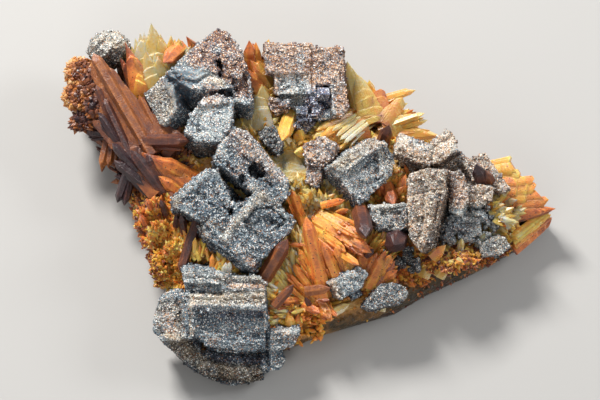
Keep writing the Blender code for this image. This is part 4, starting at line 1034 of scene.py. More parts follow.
# Seen at, tip seen at, rise, lift off the matrix, width, flatness, stain
SMALL_AMBER = [
    ((324, 205), (345, 200), 2.0, 1.0, 1.5, 0.8, (0.44, 0.52)),
    ((338, 214), (349, 209), 1.6, 0.8, 1.6, 0.9, (0.46, 0.5)),
    ((306, 246), (289, 244), 1.8, 1.5, 1.1, 1.0, (0.4, 0.5)),
    ((338, 252), (359, 265), 2.4, 2.2, 1.8, 0.8, (0.28, 0.52)),
    ((290, 322), (288, 312), 1.8, 0.6, 2.0, 0.9, (0.38, 0.46)),
    ((298, 324), (298, 314), 1.8, 0.6, 1.7, 0.9, (0.4, 0.48)),
    ((262, 322), (276, 316), 1.6, 0.8, 1.3, 0.7, (0.26, 0.34)),
    ((262, 328), (277, 323), 1.4, 0.6, 1.4, 0.7, (0.28, 0.38)),
    ((366, 272), (378, 252), 3.2, 0.6, 2.4, 0.8, (0.46, 0.52)),
    ((374, 276), (394, 258), 3.0, 0.6, 2.6, 0.8, (0.44, 0.5)),
    ((380, 280), (398, 270), 2.6, 0.6, 2.2, 0.8, (0.46, 0.54)),
    ((358, 270), (368, 258), 3.0, 0.6, 2.0, 0.8, (0.48, 0.52)),
    ((306, 306), (320, 313), 2.4, 1.2, 1.9, 1.0, (0.54, 0.6)),
    ((312, 302), (330, 300), 2.4, 1.8, 1.9, 1.0, (0.54, 0.6)),
    ((144, 222), (140, 214), 1.6, 0.6, 1.4, 1.0, (0.5, 0.56)),
    ((150, 206), (146, 198), 1.6, 0.6, 1.4, 1.0, (0.5, 0.56)),
    ((396, 194), (404, 186), 2.0, 1.0, 1.8, 0.8, (0.44, 0.5)),
]
SMALL_BROWN = [
    ((165, 212), (160, 199), 2.6, 1.0, 1.6, 1.0, (0.74, 0.78)),
    ((184, 230), (181, 214), 2.8, 1.0, 1.8, 1.0, (0.74, 0.8)),
    ((176, 224), (177, 213), 2.2, 1.0, 1.3, 1.0, (0.76, 0.82)),
    ((310, 306), (305, 297), 2.0, 2.2, 1.2, 1.0, (0.7, 0.78)),
    ((276, 304), (294, 284), 2.6, 1.8, 2.0, 0.9, (0.56, 0.66)),
    ((308, 291), (331, 288), 2.0, 4.0, 2.4, 0.5, (0.48, 0.54)),
    ((368, 254), (374, 249), 2.0, 3.6, 1.6, 0.9, (0.66, 0.8)),
]
SMALL_CLEAR = [
    ((224, 276), (226, 262), 2.4, 0.8, 1.5, 0.8, (0.00, 0.02)),
    ((232, 278), (237, 265), 2.2, 0.8, 1.4, 0.8, (0.00, 0.02)),
    ((229, 272), (230, 262), 2.6, 0.8, 1.1, 0.8, (0.02, 0.02)),
    ((394, 112), (406, 103), 1.8, 0.8, 2.4, 0.7, (0.08, 0.12)),
    ((382, 308), (386, 293), 2.2, 1.2, 1.7, 0.7, (0.1, 0.14)),
    ((371, 323), (375, 319), 1.0, 0.4, 0.9, 1.0, (0.12, 0.14)),
    ((424, 274), (432, 258), 1.8, 0.0, 3.0, 1.0, (0.2, 0.24)),
    ((440, 274), (448, 260), 1.8, 0.0, 2.8, 1.0, (0.18, 0.26)),
    ((434, 256), (446, 245), 2.0, 1.4, 2.4, 0.6, (0.36, 0.44)),
    ((338, 310), (350, 304), 1.0, 0.6, 1.8, 0.9, (0.16, 0.2)),
    ((478, 246), (486, 232), 2.6, 0.6, 1.4, 0.8, (0.02, 0.08)),
    ((496, 240), (490, 226), 2.6, 0.6, 1.3, 0.8, (0.04, 0.08)),
    ((460, 250), (462, 238), 2.4, 0.6, 1.4, 0.8, (0.06, 0.12)),
    ((506, 232), (512, 218), 2.4, 0.6, 1.6, 0.8, (0.1, 0.16)),
    ((272, 258), (286, 230), 3.0, 1.0, 3.4, 0.5, (0.1, 0.16)),
]
for name, crystals, finish, slot in (("small_amber", SMALL_AMBER, quartz_amber, "quartz_orange"),
                                     ("small_brown", SMALL_BROWN, quartz_brown, "quartz_purple"),
                                     ("small_clear", SMALL_CLEAR, quartz_clear, "quartz_pale")):
    quartz_piece(name, small_crystals(crystals, 600 + len(name)), finish, [])

# Drusy ball at the outer end of the brown fan: small quartz points have grown all over a
# rounded core, stained yellow and orange at its rim and purple-brown in the middle.
def drusy_ball(seen, height, size, count, length, width, rim_stain, heart_stain, seed):
    """Points on an egg shape: ways spread by the golden angle, places at the way times the
    three half sizes, each crystal along its way with a little lean."""
    shake = np.random.RandomState(seed)
    level = 1.0 - (np.arange(count) + 0.5) / count * 1.55
    turn = np.arange(count) * math.pi * (3.0 - math.sqrt(5.0))
    ring = np.sqrt(np.clip(1.0 - level * level, 0.0, 1.0))
    ways = np.stack([ring * np.cos(turn), ring * np.sin(turn), level], 1)
    middle = spot(seen, height)
    roots = middle + ways * np.array(size) * shake.uniform(0.86, 1.0, (count, 1))
    lean = ways + 0.28 * shake.normal(size=ways.shape)
    lengths = shake.uniform(length[0], length[1], count)
    places, faces = needles(roots - 0.25 * lean, lean, lengths, shake.uniform(*width, count),
                            shake.uniform(0.6, 1.0, count), 0.9, shake)
    to_rim = np.clip(1.15 * ring, 0.0, 1.0) ** 5
    stain = heart_stain + (rim_stain - heart_stain) * to_rim + 0.13 * shake.uniform(-1, 1, count)
    return places, faces, {"stain": np.repeat(stain, NEEDLE_PLACES)}


# Middle seen at, its height, half sizes, count, lengths, widths, stain of rim and heart, seed
BALLS = [
    ((80, 74), 14.0, (3.2, 3.7, 2.7), 210, (0.4, 1.0), (0.7, 1.6), 0.32, 0.6, 501),
    ((78, 96), 13.2, (3.1, 3.5, 2.5), 200, (0.4, 1.0), (0.7, 1.6), 0.36, 0.62, 502),
    ((92, 84), 14.6, (3.1, 3.5, 2.5), 150, (0.5, 1.4), (0.8, 1.9), 0.52, 0.68, 503),
    ((96, 104), 14.0, (2.5, 3.1, 2.1), 100, (0.5, 1.5), (0.9, 2.0), 0.6, 0.76, 504),
    ((82, 122), 11.8, (2.2, 1.8, 1.8), 90, (0.6, 1.6), (0.8, 1.5), 0.6, 0.78, 505),
]
quartz_piece("left_ball", [drusy_ball(*ball) for ball in BALLS], quartz_brown, [])

# Galena. Cubes whose faces grew slower than their edges, so they are stepped and hollow, and
# all covered by a sparkling druse of crystals a fraction of a millimetre across. Each piece
# has its own ledges, creases and stained patches, given by where they are seen.
GALENA_NET = 0.255  # mm between neighbouring places of a skin
PIECE_FACES = 180000  # of a skin and its grains; the small blocks come on top of them
OCTAHEDRON = np.array([(1, 0, 0), (-1, 0, 0), (0, 1, 0), (0, -1, 0), (0, 0, 1), (0, 0, -1)], float)
OCTAHEDRON_FACES = np.array([(0, 2, 4), (2, 1, 4), (1, 3, 4), (3, 0, 4),
                             (2, 0, 5), (1, 2, 5), (3, 1, 5), (0, 3, 5)])


def places_on(places, faces, per_square, shake):
    """Random places spread evenly over a skin: faces drawn by their area, then a point in
    each from two random shares."""
    corners = places[faces]
    across = np.cross(corners[:, 1] - corners[:, 0], corners[:, 2] - corners[:, 0])
    area = 0.5 * np.linalg.norm(across, axis=1)
    total = np.cumsum(area)
    count = int(total[-1] * per_square)
    drawn = np.minimum(np.searchsorted(total, shake.uniform(0, total[-1], count)), len(faces) - 1)
    first = np.sqrt(shake.uniform(0, 1, count))[:, None]
    second = shake.uniform(0, 1, count)[:, None]
    corner = corners[drawn]
    inside = (corner[:, 0] * (1 - first) + corner[:, 1] * first * (1 - second)
              + corner[:, 2] * first * second)
    way = across[drawn] / np.maximum(np.linalg.norm(across[drawn], axis=1, keepdims=True), 1e-9)
    return inside, way


def random_turns(count, shake):
    """Rotation matrices from random unit quaternions."""
    q = shake.normal(size=(count, 4))
    q /= np.linalg.norm(q, axis=1, keepdims=True)
    w, x, y, z = q.T
    rows = [1 - 2 * (y * y + z * z), 2 * (x * y - w * z), 2 * (x * z + w * y),
            2 * (x * y + w * z), 1 - 2 * (x * x + z * z), 2 * (y * z - w * x),
            2 * (x * z - w * y), 2 * (y * z + w * x), 1 - 2 * (x * x + y * y)]
    return np.stack(rows, 1).reshape(-1, 3, 3)


def tiny_crystals(middles, sizes, shake):
    """Octahedra at places, each at its own size and turned at random."""
    turns = random_turns(len(middles), shake)
    shapes = np.einsum("nij,vj->nvi", turns, OCTAHEDRON) * sizes[:, None, None]
    places = (middles[:, None, :] + shapes).reshape(-1, 3)
    faces = OCTAHEDRON_FACES[None] + 6 * np.arange(len(middles))[:, None, None]
    return places, faces.reshape(-1, 3)


CUBE = np.array([(x, y, z) for x in (-1, 1) for y in (-1, 1) for z in (-1, 1)], float)
CUBE_FACES = np.array([(0, 1, 3), (0, 3, 2), (4, 6, 7), (4, 7, 5), (0, 4, 5), (0, 5, 1),
                       (2, 3, 7), (2, 7, 6), (0, 2, 6), (0, 6, 4), (1, 5, 7), (1, 7, 3)])


def tiny_cubes(middles, sizes, turn, shake):
    """Small blocks at places, nearly parallel to the big crystal: each side a size times its
    own share, turned by turn degrees about the upright and by a few degrees at random."""
    count = len(middles)
    angle = np.radians(turn + 90.0 * shake.randint(0, 4, count) + shake.uniform(-9, 9, count))
    shares = shake.uniform(0.55, 1.3, (count, 1, 3))
    shapes = CUBE[None] * sizes[:, None, None] * shares
    lean = shake.uniform(-0.25, 0.25, (count, 2))
    x, y, z = shapes[..., 0], shapes[..., 1], shapes[..., 2]
    x, z = x + z * lean[:, 0:1], z - x * lean[:, 0:1]
    y, z = y + z * lean[:, 1:2], z - y * lean[:, 1:2]
    cos, sin = np.cos(angle)[:, None], np.sin(angle)[:, None]
    shapes = np.stack([x * cos - y * sin, x * sin + y * cos, z], -1)
    faces = CUBE_FACES[None] + 8 * np.arange(count)[:, None, None]
    return (middles[:, None, :] + shapes).reshape(-1, 3), faces.reshape(-1, 3)


def blocks(places, size, seed, turn):
    """Stepped relief: each place belongs to the block whose seat is nearest when the largest
    of the three distances counts, in axes turned by turn degrees; a block has one height."""
    cos, sin = math.cos(math.radians(turn)), math.sin(math.radians(turn))
    local = np.stack([places[:, 0] * cos + places[:, 1] * sin,
                      places[:, 1] * cos - places[:, 0] * sin, places[:, 2]], 1)
    scaled = local / np.array(size)
    nearest = np.full(len(places), 1e9)
    rise = np.zeros(len(places))
    for here, seat in cells_round(scaled, seed, 0.42):
        distance = np.abs(scaled - seat).max(1)
        closer = distance < nearest
        nearest = np.where(closer, distance, nearest)
        rise = np.where(closer, lattice(here, seed + 20), rise)
    return rise


def seen_at(places):
    """Picture points of places: how far right and up of the eye's middle line they are, over
    how far in front of the eye, times the distance at which a point is PIXEL wide."""
    out = places - EYE
    ahead = -(out @ TO_EYE)
    right = (out @ TO_RIGHT) * VIEW_DISTANCE / ahead / PIXEL
    top = (out @ TO_TOP) * VIEW_DISTANCE / ahead / PIXEL
    return np.stack([PICTURE_MIDDLE[0] + right, PICTURE_MIDDLE[1] - top], 1)


def off_line(points, line):
    """Distance of each point from a line of straight stretches: the least over the stretches
    of the distance to the nearest place between its ends."""
    least = np.full(len(points), 1e9)
    for start, end in zip(line[:-1], line[1:]):
        start, end = np.array(start, float), np.array(end, float)
        along = end - start
        share = np.clip((points - start) @ along / max(along @ along, 1e-9), 0.0, 1.0)
        near = points - start - share[:, None] * along
        least = np.minimum(least, np.sqrt((near * near).sum(1)))
    return least


def within(points, outline):
    """True for the points inside a closed outline: its sides are crossed an odd number of
    times on the way to the right."""
    inside = np.zeros(len(points), bool)
    for (x0, y0), (x1, y1) in zip(outline[:-1], outline[1:]):
        crosses = (y0 > points[:, 1]) != (y1 > points[:, 1])
        place = x0 + (points[:, 1] - y0) * (x1 - x0) / ((y1 - y0) or 1e-9)
        inside ^= crosses & (points[:, 0] < place)
    return inside


def traced(points, features):
    """Sum of features traced by where they are seen: a width, an amount and a line, x, y, x, y.
    A line gives the amount times exp(-(distance / width) squared). A line that ends where it
    starts is an outline: it gives the amount inside, fading over the width."""
    total = np.zeros(len(points))
    for width, amount, *path in features:
        line = list(zip(path[::2], path[1::2]))
        away = off_line(points, line)
        if line[0] == line[-1]:
            edge = np.where(within(points, line), away, -away)
            total += amount * np.clip(0.5 + edge / width, 0.0, 1.0)
        else:
            total += amount * np.exp(-(away / width) ** 2)
    return total


COVER_POINTS = 12.0  # places to a square millimetre of the solids, for the map of their tops
CROWD_REACHES = (1.2, 2.8)
CROWD_WAYS = 8

cover_map = np.zeros_like(ground_map)
cover_shake = np.random.RandomState(77)
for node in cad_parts.values():
    strewn = places_on(*mesh_arrays(node.data), COVER_POINTS, cover_shake)[0]
    np.maximum.at(cover_map, grid_cell(strewn[:, 0], strewn[:, 1]), strewn[:, 2])


# The crowding gives the painted shade among the galena's neighbours
def crowding(places):
    """How deep places lie among the solids round them: the rise to the top of what stands
    1.2 and 2.8 mm away, over that distance, between 0 and 1.5, averaged over eight ways."""
    total = np.zeros(len(places))
    for reach in CROWD_REACHES:
        for turn in np.arange(CROWD_WAYS) * math.pi / 4.0:
            cell = grid_cell(places[:, 0] + reach * math.cos(turn),
                             places[:, 1] + reach * math.sin(turn))
            total += np.clip((cover_map[cell] - places[:, 2]) / reach, 0.0, 1.5)
    return total / (CROWD_WAYS * len(CROWD_REACHES))


def smoothed(values, faces, rounds):
    """Values averaged with those of neighbouring places along the faces' sides, over and over."""
    sides = np.concatenate([faces[:, [0, 1]], faces[:, [1, 2]], faces[:, [2, 0]]])
    count = np.bincount(sides[:, 0], minlength=len(values))
    for turn in range(rounds):
        columns = [np.bincount(sides[:, 0], values[sides[:, 1], axis], len(values))
                   for axis in range(values.shape[1])]
        values = 0.5 * values + 0.5 * np.stack(columns, 1) / np.maximum(count, 1)[:, None]
    return values


# Ramps of the druse, dark to bright: slate-grey galena, the orange grains and the rosy film of
# iron, the tan film of clay, and the blue-black of the sheltered hollows
SLATE_GRAINS = [
    (0.00, (0.006, 0.008, 0.013)), (0.2, (0.025, 0.042, 0.062)), (0.4, (0.08, 0.124, 0.165)),
    (0.6, (0.185, 0.245, 0.285)), (0.78, (0.42, 0.46, 0.45)), (1.00, (0.92, 0.93, 0.9)),
]
ORANGE_GRAINS = [
    (0.00, (0.03, 0.01, 0.004)), (0.35, (0.24, 0.09, 0.035)), (0.65, (0.6, 0.3, 0.14)),
    (1.00, (0.94, 0.72, 0.5)),
]
ROSY_GRAINS = [
    (0.00, (0.012, 0.01, 0.013)), (0.2, (0.055, 0.042, 0.05)), (0.4, (0.16, 0.125, 0.14)),
    (0.6, (0.34, 0.27, 0.255)), (0.8, (0.6, 0.49, 0.42)), (1.00, (0.95, 0.88, 0.8)),
]
TAN_GRAINS = [
    (0.00, (0.012, 0.009, 0.006)), (0.2, (0.06, 0.044, 0.03)), (0.4, (0.2, 0.155, 0.105)),
    (0.6, (0.4, 0.33, 0.24)), (0.8, (0.62, 0.55, 0.43)), (1.00, (0.94, 0.9, 0.8)),
]
NAVY_GRAINS = [
    (0.00, (0.004, 0.004, 0.008)), (0.35, (0.03, 0.03, 0.055)), (0.65, (0.13, 0.14, 0.23)),
    (0.88, (0.36, 0.38, 0.48)), (1.00, (0.8, 0.82, 0.88)),
]
GRAIN_MARKS = ("Tone", "Rosy", "Tan", "Navy", "Plain")
GRAIN_SCALE = 5600.0  # grains a metre
GRAIN_SPREAD = 0.50  # by how much single grains are darker and brighter
GRAIN_CALM = (-0.75, 1.0)  # the same on plain galena
# Painted glints and painted shade: grains above the first limit are raised further, those below
# the second lowered, less so on plain galena
PAINTED_GLINTS_AND_SHADE = (("GREATER_THAN", 0.88, 0.32), ("LESS_THAN", 0.13, -0.16))
FILM_GRAINS = (0.9, 0.1)  # how many grains a film colours outright
FILM_SHARES = (0.55, 0.45)  # how much it colours them, and the rest
ORANGE_SHARES = (0.40, 0.075)
GRAIN_ROUGHNESS = (0.40, 0.34)

grain_group = bpy.data.node_groups.new("druse_grains", "ShaderNodeTree")
grain_group.interface.new_socket(name="Cells", in_out="INPUT", socket_type="NodeSocketColor")
for label in GRAIN_MARKS:
    grain_group.interface.new_socket(name=label, in_out="INPUT", socket_type="NodeSocketFloat")
grain_group.interface.new_socket(name="Colour", in_out="OUTPUT", socket_type="NodeSocketColor")
grain_group.interface.new_socket(name="Roughness", in_out="OUTPUT", socket_type="NodeSocketFloat")
group_in = add_node(grain_group, "NodeGroupInput")
group_out = add_node(grain_group, "NodeGroupOutput")
cell_split = add_node(grain_group, "ShaderNodeSeparateColor")
grain_group.links.new(group_in.outputs["Cells"], cell_split.inputs["Color"])
grain_calm = sum_values(grain_group, "MULTIPLY_ADD", group_in.outputs["Plain"], *GRAIN_CALM)
grain_level = sum_values(grain_group, "SUBTRACT", cell_split.outputs[0], 0.5)
grain_level = sum_values(grain_group, "MULTIPLY", grain_level, grain_calm)
grain_level = sum_values(grain_group, "MULTIPLY_ADD", grain_level, GRAIN_SPREAD,
                         group_in.outputs["Tone"], clamp=True)
# Painted glints on the brightest grains and painted shade on the darkest
for kind, limit, more in PAINTED_GLINTS_AND_SHADE:
    extreme = sum_values(grain_group, kind, cell_split.outputs[0], limit)
    extreme = sum_values(grain_group, "MULTIPLY", extreme, grain_calm)
    grain_level = sum_values(grain_group, "MULTIPLY_ADD", extreme, more, grain_level, clamp=True)
grain_colour = add_ramp(grain_group, grain_level, SLATE_GRAINS)
for label, stops in (("Tan", TAN_GRAINS), ("Rosy", ROSY_GRAINS), ("Navy", NAVY_GRAINS)):
    film = group_in.outputs[label]
    own_grain = sum_values(grain_group, "LESS_THAN", cell_split.outputs[2],
                           sum_values(grain_group, "MULTIPLY_ADD", film, *FILM_GRAINS))
    own_share = sum_values(grain_group, "MULTIPLY", own_grain, FILM_SHARES[0])
    own_share = sum_values(grain_group, "MULTIPLY_ADD", film, FILM_SHARES[1], own_share)
    grain_colour = blend_colours(grain_group, own_share, grain_colour,
                                 add_ramp(grain_group, grain_level, stops))
orange_share = sum_values(grain_group, "MULTIPLY_ADD", group_in.outputs["Rosy"],
                          *ORANGE_SHARES)
orange_share = sum_values(grain_group, "LESS_THAN", cell_split.outputs[1], orange_share)
grain_colour = blend_colours(grain_group, orange_share, grain_colour,
                             add_ramp(grain_group, grain_level, ORANGE_GRAINS))
grain_group.links.new(grain_colour, group_out.inputs["Colour"])
grain_group.links.new(sum_values(grain_group, "MULTIPLY_ADD", cell_split.outputs[2],
                                 *GRAIN_ROUGHNESS), group_out.inputs["Roughness"])

druse_finish, druse_tree, druse_shader = new_material("galena_druse", 0.4, 0.10)
druse_coordinate = add_node(druse_tree, "ShaderNodeTexCoord").outputs["Object"]
druse_cells = add_node(druse_tree, "ShaderNodeTexVoronoi", {"Scale": GRAIN_SCALE})
druse_tree.links.new(druse_coordinate, druse_cells.inputs["Vector"])
druse_group = add_node(druse_tree, "ShaderNodeGroup", node_tree=grain_group)
druse_tree.links.new(druse_cells.outputs["Color"], druse_group.inputs["Cells"])
for mark in GRAIN_MARKS:
    mark_source = add_node(druse_tree, "ShaderNodeAttribute", attribute_name=mark.lower())
    druse_tree.links.new(mark_source.outputs["Fac"], druse_group.inputs[mark])
druse_tree.links.new(druse_group.outputs["Colour"], druse_shader.inputs["Base Color"])
druse_tree.links.new(druse_group.outputs["Roughness"], druse_shader.inputs["Roughness"])
add_bump(druse_tree, druse_shader, druse_cells.outputs["Distance"], 0.7)

COARSE_BLOCKS, COARSE_LIFT = (3.6, 2.4, 3.0), 0.20  # mm
FINE_BLOCKS, FINE_LIFT = (1.3, 0.9, 1.1), 0.055
PIT, PIT_LIFT = 0.21, 0.03
GRAINS = 13.0  # to a square millimetre
GRAIN_SIZES = (0.065, 0.085)  # mm, the least and what is added to it
SMALL_BLOCKS = 0.9
BLOCK_SIZES = (0.14, 0.26)
BAREST = 0.97  # largest share of the grains that is missing from a bare face
TONE_RAISE = 0.155
TONE_COARSE, TONE_FINE = 0.05, 0.04  # share of the blocks' own heights
PAINTED_RIM_LIGHT, PAINTED_SIDE_SHADE, PAINTED_GAP_SHADE = 0.30, 0.09, 0.24  # painted highlight on edges and painted shade in small hollows, painted shade on steep sides and in gaps
# The traced tone features are partly the galena's own colour and partly painted light and shade:
# lighter tops, darker fronts, creases and pits
TONE_TRACED = 0.62
NEAR_CELL = 0.6  # mm


def nearest_values(places, values, wanted):
    """Value at wanted places: the mean over the skin places in the same small cell, or over
    the whole skin where the cell holds none."""
    cells = np.floor(np.concatenate([places, wanted]) / NEAR_CELL).astype(np.int64)
    cells -= cells.min(0)
    span = cells.max(0) + 1
    key = (cells[:, 0] * span[1] + cells[:, 1]) * span[2] + cells[:, 2]
    total = np.bincount(key[:len(places)], values, span.prod())
    count = np.bincount(key[:len(places)], minlength=span.prod())
    mean = np.where(count > 0, total / np.maximum(count, 1), values.mean())
    return mean[key[len(places):]]


def open_places(places, faces, per_square, lowest, bare, shake):
    """Random places on a skin where druse grows, and their outward ways: above the matrix's
    top, facing down by no more than the lowest, and seldom where the piece is bare."""
    middles, outwards = places_on(places, faces, per_square, shake)
    shown = middles[:, 2] > np.minimum(ground(middles) - 0.8, 12.0)
    shown &= outwards[:, 2] > lowest
    rubbed = np.clip(traced(seen_at(middles), bare), 0.0, BAREST)
    shown &= shake.uniform(0, 1, len(middles)) > rubbed
    return middles[shown], outwards[shown]


def galena_piece(name, node, seed, turn, tone=0.5, rosy=0.0, tan=0.0, relief=(),
                 tones_light_and_shade=(), rosies=(), tans=(), navies=(), bare=(), steps=1.0, clusters=()):
    """Galena crystal with its druse. Its skin is the solid's, moved out and in by blocks of
    three sizes and by the traced relief. Its tone is painted darker on steep sides and among
    neighbours and lighter on edges: painted shade and painted highlight. Octahedra and small
    blocks stand on it wherever it isn't bare."""
    shake = np.random.RandomState(seed)
    places, faces = skin_of(node, GALENA_NET)
    ways = ways_out(places, faces)
    facing = np.clip((ways @ TO_EYE) * 3.0, 0.0, 1.0)
    coarse = blocks(places, COARSE_BLOCKS, seed * 7 + 1, turn)
    fine = blocks(places, FINE_BLOCKS, seed * 7 + 2, turn)
    lift = steps * (COARSE_LIFT * coarse + FINE_LIFT * fine)
    lift += PIT_LIFT * lattice(np.round(places / PIT).astype(np.int64), seed * 7 + 3)
    lift = lift + traced(seen_at(places), relief) * facing
    free = np.clip((places[:, 2] - 0.4) / 1.0, 0.0, 1.0)
    places = places + ways * (lift * free)[:, None]
    soft_ways = smoothed(ways, faces, 3)
    proud = ((places - smoothed(places, faces, 10)) * soft_ways).sum(1)
    deep = crowding(places)
    # Painted light and shade in the tone: lighter on edges, darker in small hollows, on steep
    # sides and among neighbours
    field = (tone + TONE_RAISE + TONE_COARSE * coarse + TONE_FINE * fine
             + PAINTED_RIM_LIGHT * np.clip(proud, -0.30, 0.12)
             - PAINTED_SIDE_SHADE * np.clip(1.0 - 1.5 * soft_ways[:, 2], 0.0, 1.0) - PAINTED_GAP_SHADE * deep)

    middles, outwards = open_places(places, faces, GRAINS, -0.35, bare, shake)
    most = (PIECE_FACES - len(faces)) // len(OCTAHEDRON_FACES)
    wider = math.sqrt(max(1.0, len(middles) / most))
    kept = shake.permutation(len(middles))[:most]
    middles, outwards = middles[kept], outwards[kept]
    sizes = wider * (GRAIN_SIZES[0] + GRAIN_SIZES[1] * shake.uniform(0, 1, len(middles)) ** 2.0)
    grain_places, grain_faces = tiny_crystals(middles - outwards * sizes[:, None] * 0.1, sizes,
                                              shake)
    blocky = open_places(places, faces, SMALL_BLOCKS, -0.2, bare, shake)[0]
    sizes = BLOCK_SIZES[0] + BLOCK_SIZES[1] * shake.uniform(0, 1, len(blocky)) ** 2.5
    for where, height, reach, count, size in clusters:
        heap = np.clip(shake.normal(size=(count, 3)), -1.3, 1.3) * reach + spot(where, height)
        blocky = np.concatenate([blocky, heap])
        sizes = np.concatenate([sizes, size * shake.uniform(0.35, 1.0, count)])
    cube_places, cube_faces = tiny_cubes(blocky, sizes, turn, shake)

    everywhere = np.concatenate([places, grain_places, cube_places])
    nearest = nearest_values(places, field, np.concatenate([grain_places, cube_places]))
    field = np.concatenate([field, nearest])
    seen = seen_at(everywhere)
    # Traced tone: own colour patches, with painted light on tops and painted shade on fronts,
    # creases and pits
    field += TONE_TRACED * traced(seen, tones_light_and_shade) + 0.05 * drift(everywhere, 2.4, seed + 3)
    marks = {"tone": np.clip(field, 0.02, 1.1), "plain": np.clip(traced(seen, bare), 0.0, 1.0)}
    for mark, level, features in (("rosy", rosy, rosies), ("tan", tan, tans),
                                  ("navy", 0.0, navies)):
        film = level + traced(seen, features)
        film *= 1.0 + 0.5 * drift(everywhere, 1.7, seed + 4)
        marks[mark] = np.clip(film, 0.0, 1.0)
    piece = new_piece(name, everywhere,
                      np.concatenate([faces, grain_faces + len(places),
                                      cube_faces + len(places) + len(grain_places)]),
                      druse_finish, marks)
    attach(piece, "root")
    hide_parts(node)


# Druse of stubby quartz points, grown all over the matrix's top and broken sides. Low down
# they are small, rough and darker, like the slab there: rust film and painted shade. Along the
# glassy part of the front edge there are few.
MATRIX_POINTS = 0.75  # to a square millimetre
LOW_DOWN = 8.0  # mm above the flat, below which the druse is darker: rust film and painted shade

shake = np.random.RandomState(401)
roots, ways = places_on(matrix_places, matrix_faces, MATRIX_POINTS, shake)
glassy_edge = ((roots[:, 1] < -6.0) & (roots[:, 0] > -2.0) & (roots[:, 0] < 21.0)
               & (roots[:, 2] < 9.0))
missing = glassy_edge & (shake.uniform(0, 1, len(roots)) > 0.15)
kept = (ways[:, 2] > -0.3) & (roots[:, 2] > 1.2) & ~missing
roots, ways = roots[kept], ways[kept]
ways = ways + 0.45 * shake.normal(size=ways.shape)
lengths = shake.uniform(0.5, 1.7, len(roots)) * np.where(roots[:, 2] < LOW_DOWN, 0.55, 1.0)
widths = lengths * shake.uniform(0.5, 0.9, len(roots))
places, faces = needles(roots - 0.1 * ways, ways, lengths, widths,
                        shake.uniform(0.7, 1.0, len(roots)), 0.9, shake)
level = (MATRIX_STAIN + 0.05 + patch_field(roots, MATRIX_STAINS)
         + 0.14 * shake.uniform(-1, 1, len(roots)))
low_down = np.clip((LOW_DOWN - roots[:, 2]) / LOW_DOWN, 0.0, 1.0)
level = level + 0.32 * low_down + 0.30 * low_down * shake.uniform(-1, 1, len(roots))
quartz_piece("matrix_druse", [(places, faces, {"stain": np.repeat(level, NEEDLE_PLACES)})],
             quartz_amber, [])

# Upper cubes: a large galena cube that stands tilted, with three smaller ones grown on it. Its
# upper face is slate-blue and nearly bare of druse, its neighbour rosy with iron, and deep
# navy creases part the cubes.
# Its tone features paint the small cube's top lighter and its front side and the creases darker:
# painted light and shade
galena_piece("upper_cubes", "galena_upper", 101, 40.0, tone=0.52,
    relief=[
        (2.2, -0.5, 216, 60, 219, 66, 221, 76), (2.0, 0.35, 163, 74, 178, 70, 194, 74, 208, 68),
        (1.6, -0.45, 166, 80, 182, 80, 196, 82, 206, 76), (2.6, -0.9, 204, 90, 216, 92, 232, 95),
        (1.8, -0.5, 226, 66, 232, 80, 238, 92),
        (2.0, -0.25, 198, 107, 229, 104, 224, 134, 197, 132, 198, 107),
        (1.5, -0.5, 240, 62, 246, 80, 248, 96)],
    tones_light_and_shade=[
        (8.0, -0.2, 163, 72, 196, 70, 196, 100, 184, 112, 168, 108, 163, 72),
        (8.0, 0.12, 198, 107, 229, 104, 224, 136, 197, 134, 198, 107),
        (3.5, -0.36, 204, 91, 218, 93, 234, 96), (6.0, -0.18, 184, 146, 200, 150, 220, 148),
        (3.0, 0.12, 214, 48, 219, 50), (2.6, -0.32, 216, 60, 219, 66, 221, 76),
        (5.0, -0.12, 145, 94, 162, 80, 172, 88, 174, 110, 165, 124, 154, 108, 145, 94),
        (4.0, -0.2, 238, 86, 248, 98),
        (8.0, -0.42, 186, 56, 217, 28, 229, 30, 249, 66, 252, 90, 236, 92, 226, 78, 206, 66, 190,
         64, 186, 56)],
    rosies=[
        (8.0, 0.85, 186, 56, 217, 28, 229, 30, 249, 66, 252, 98, 236, 96, 226, 78, 206, 66, 190,
         64, 186, 56), (6.0, 0.45, 206, 100, 222, 98), (5.0, 0.4, 206, 86, 214, 90),
        (3.5, -0.8, 214, 48, 219, 50)],
    tans=[
        (6.0, 0.55, 143, 94, 162, 78, 174, 88, 176, 110, 164, 126, 150, 108, 143, 94),
        (4.5, 0.7, 210, 78, 222, 82), (6.0, 0.5, 184, 148, 200, 152, 220, 150)],
    navies=[(2.2, 0.9, 216, 60, 219, 66, 221, 76)],
    clusters=[
        ((216, 82), 19.4, 0.7, 14, 0.6), ((238, 88), 17.4, 1.0, 22, 0.7),
        ((246, 94), 16.4, 0.8, 16, 0.6), ((226, 92), 17.6, 0.9, 18, 0.6),
        ((160, 120), 14.6, 0.9, 14, 0.6)],
    bare=[(5.0, 0.9, 163, 72, 206, 66, 210, 76, 192, 86, 188, 108, 170, 104, 163, 72)])
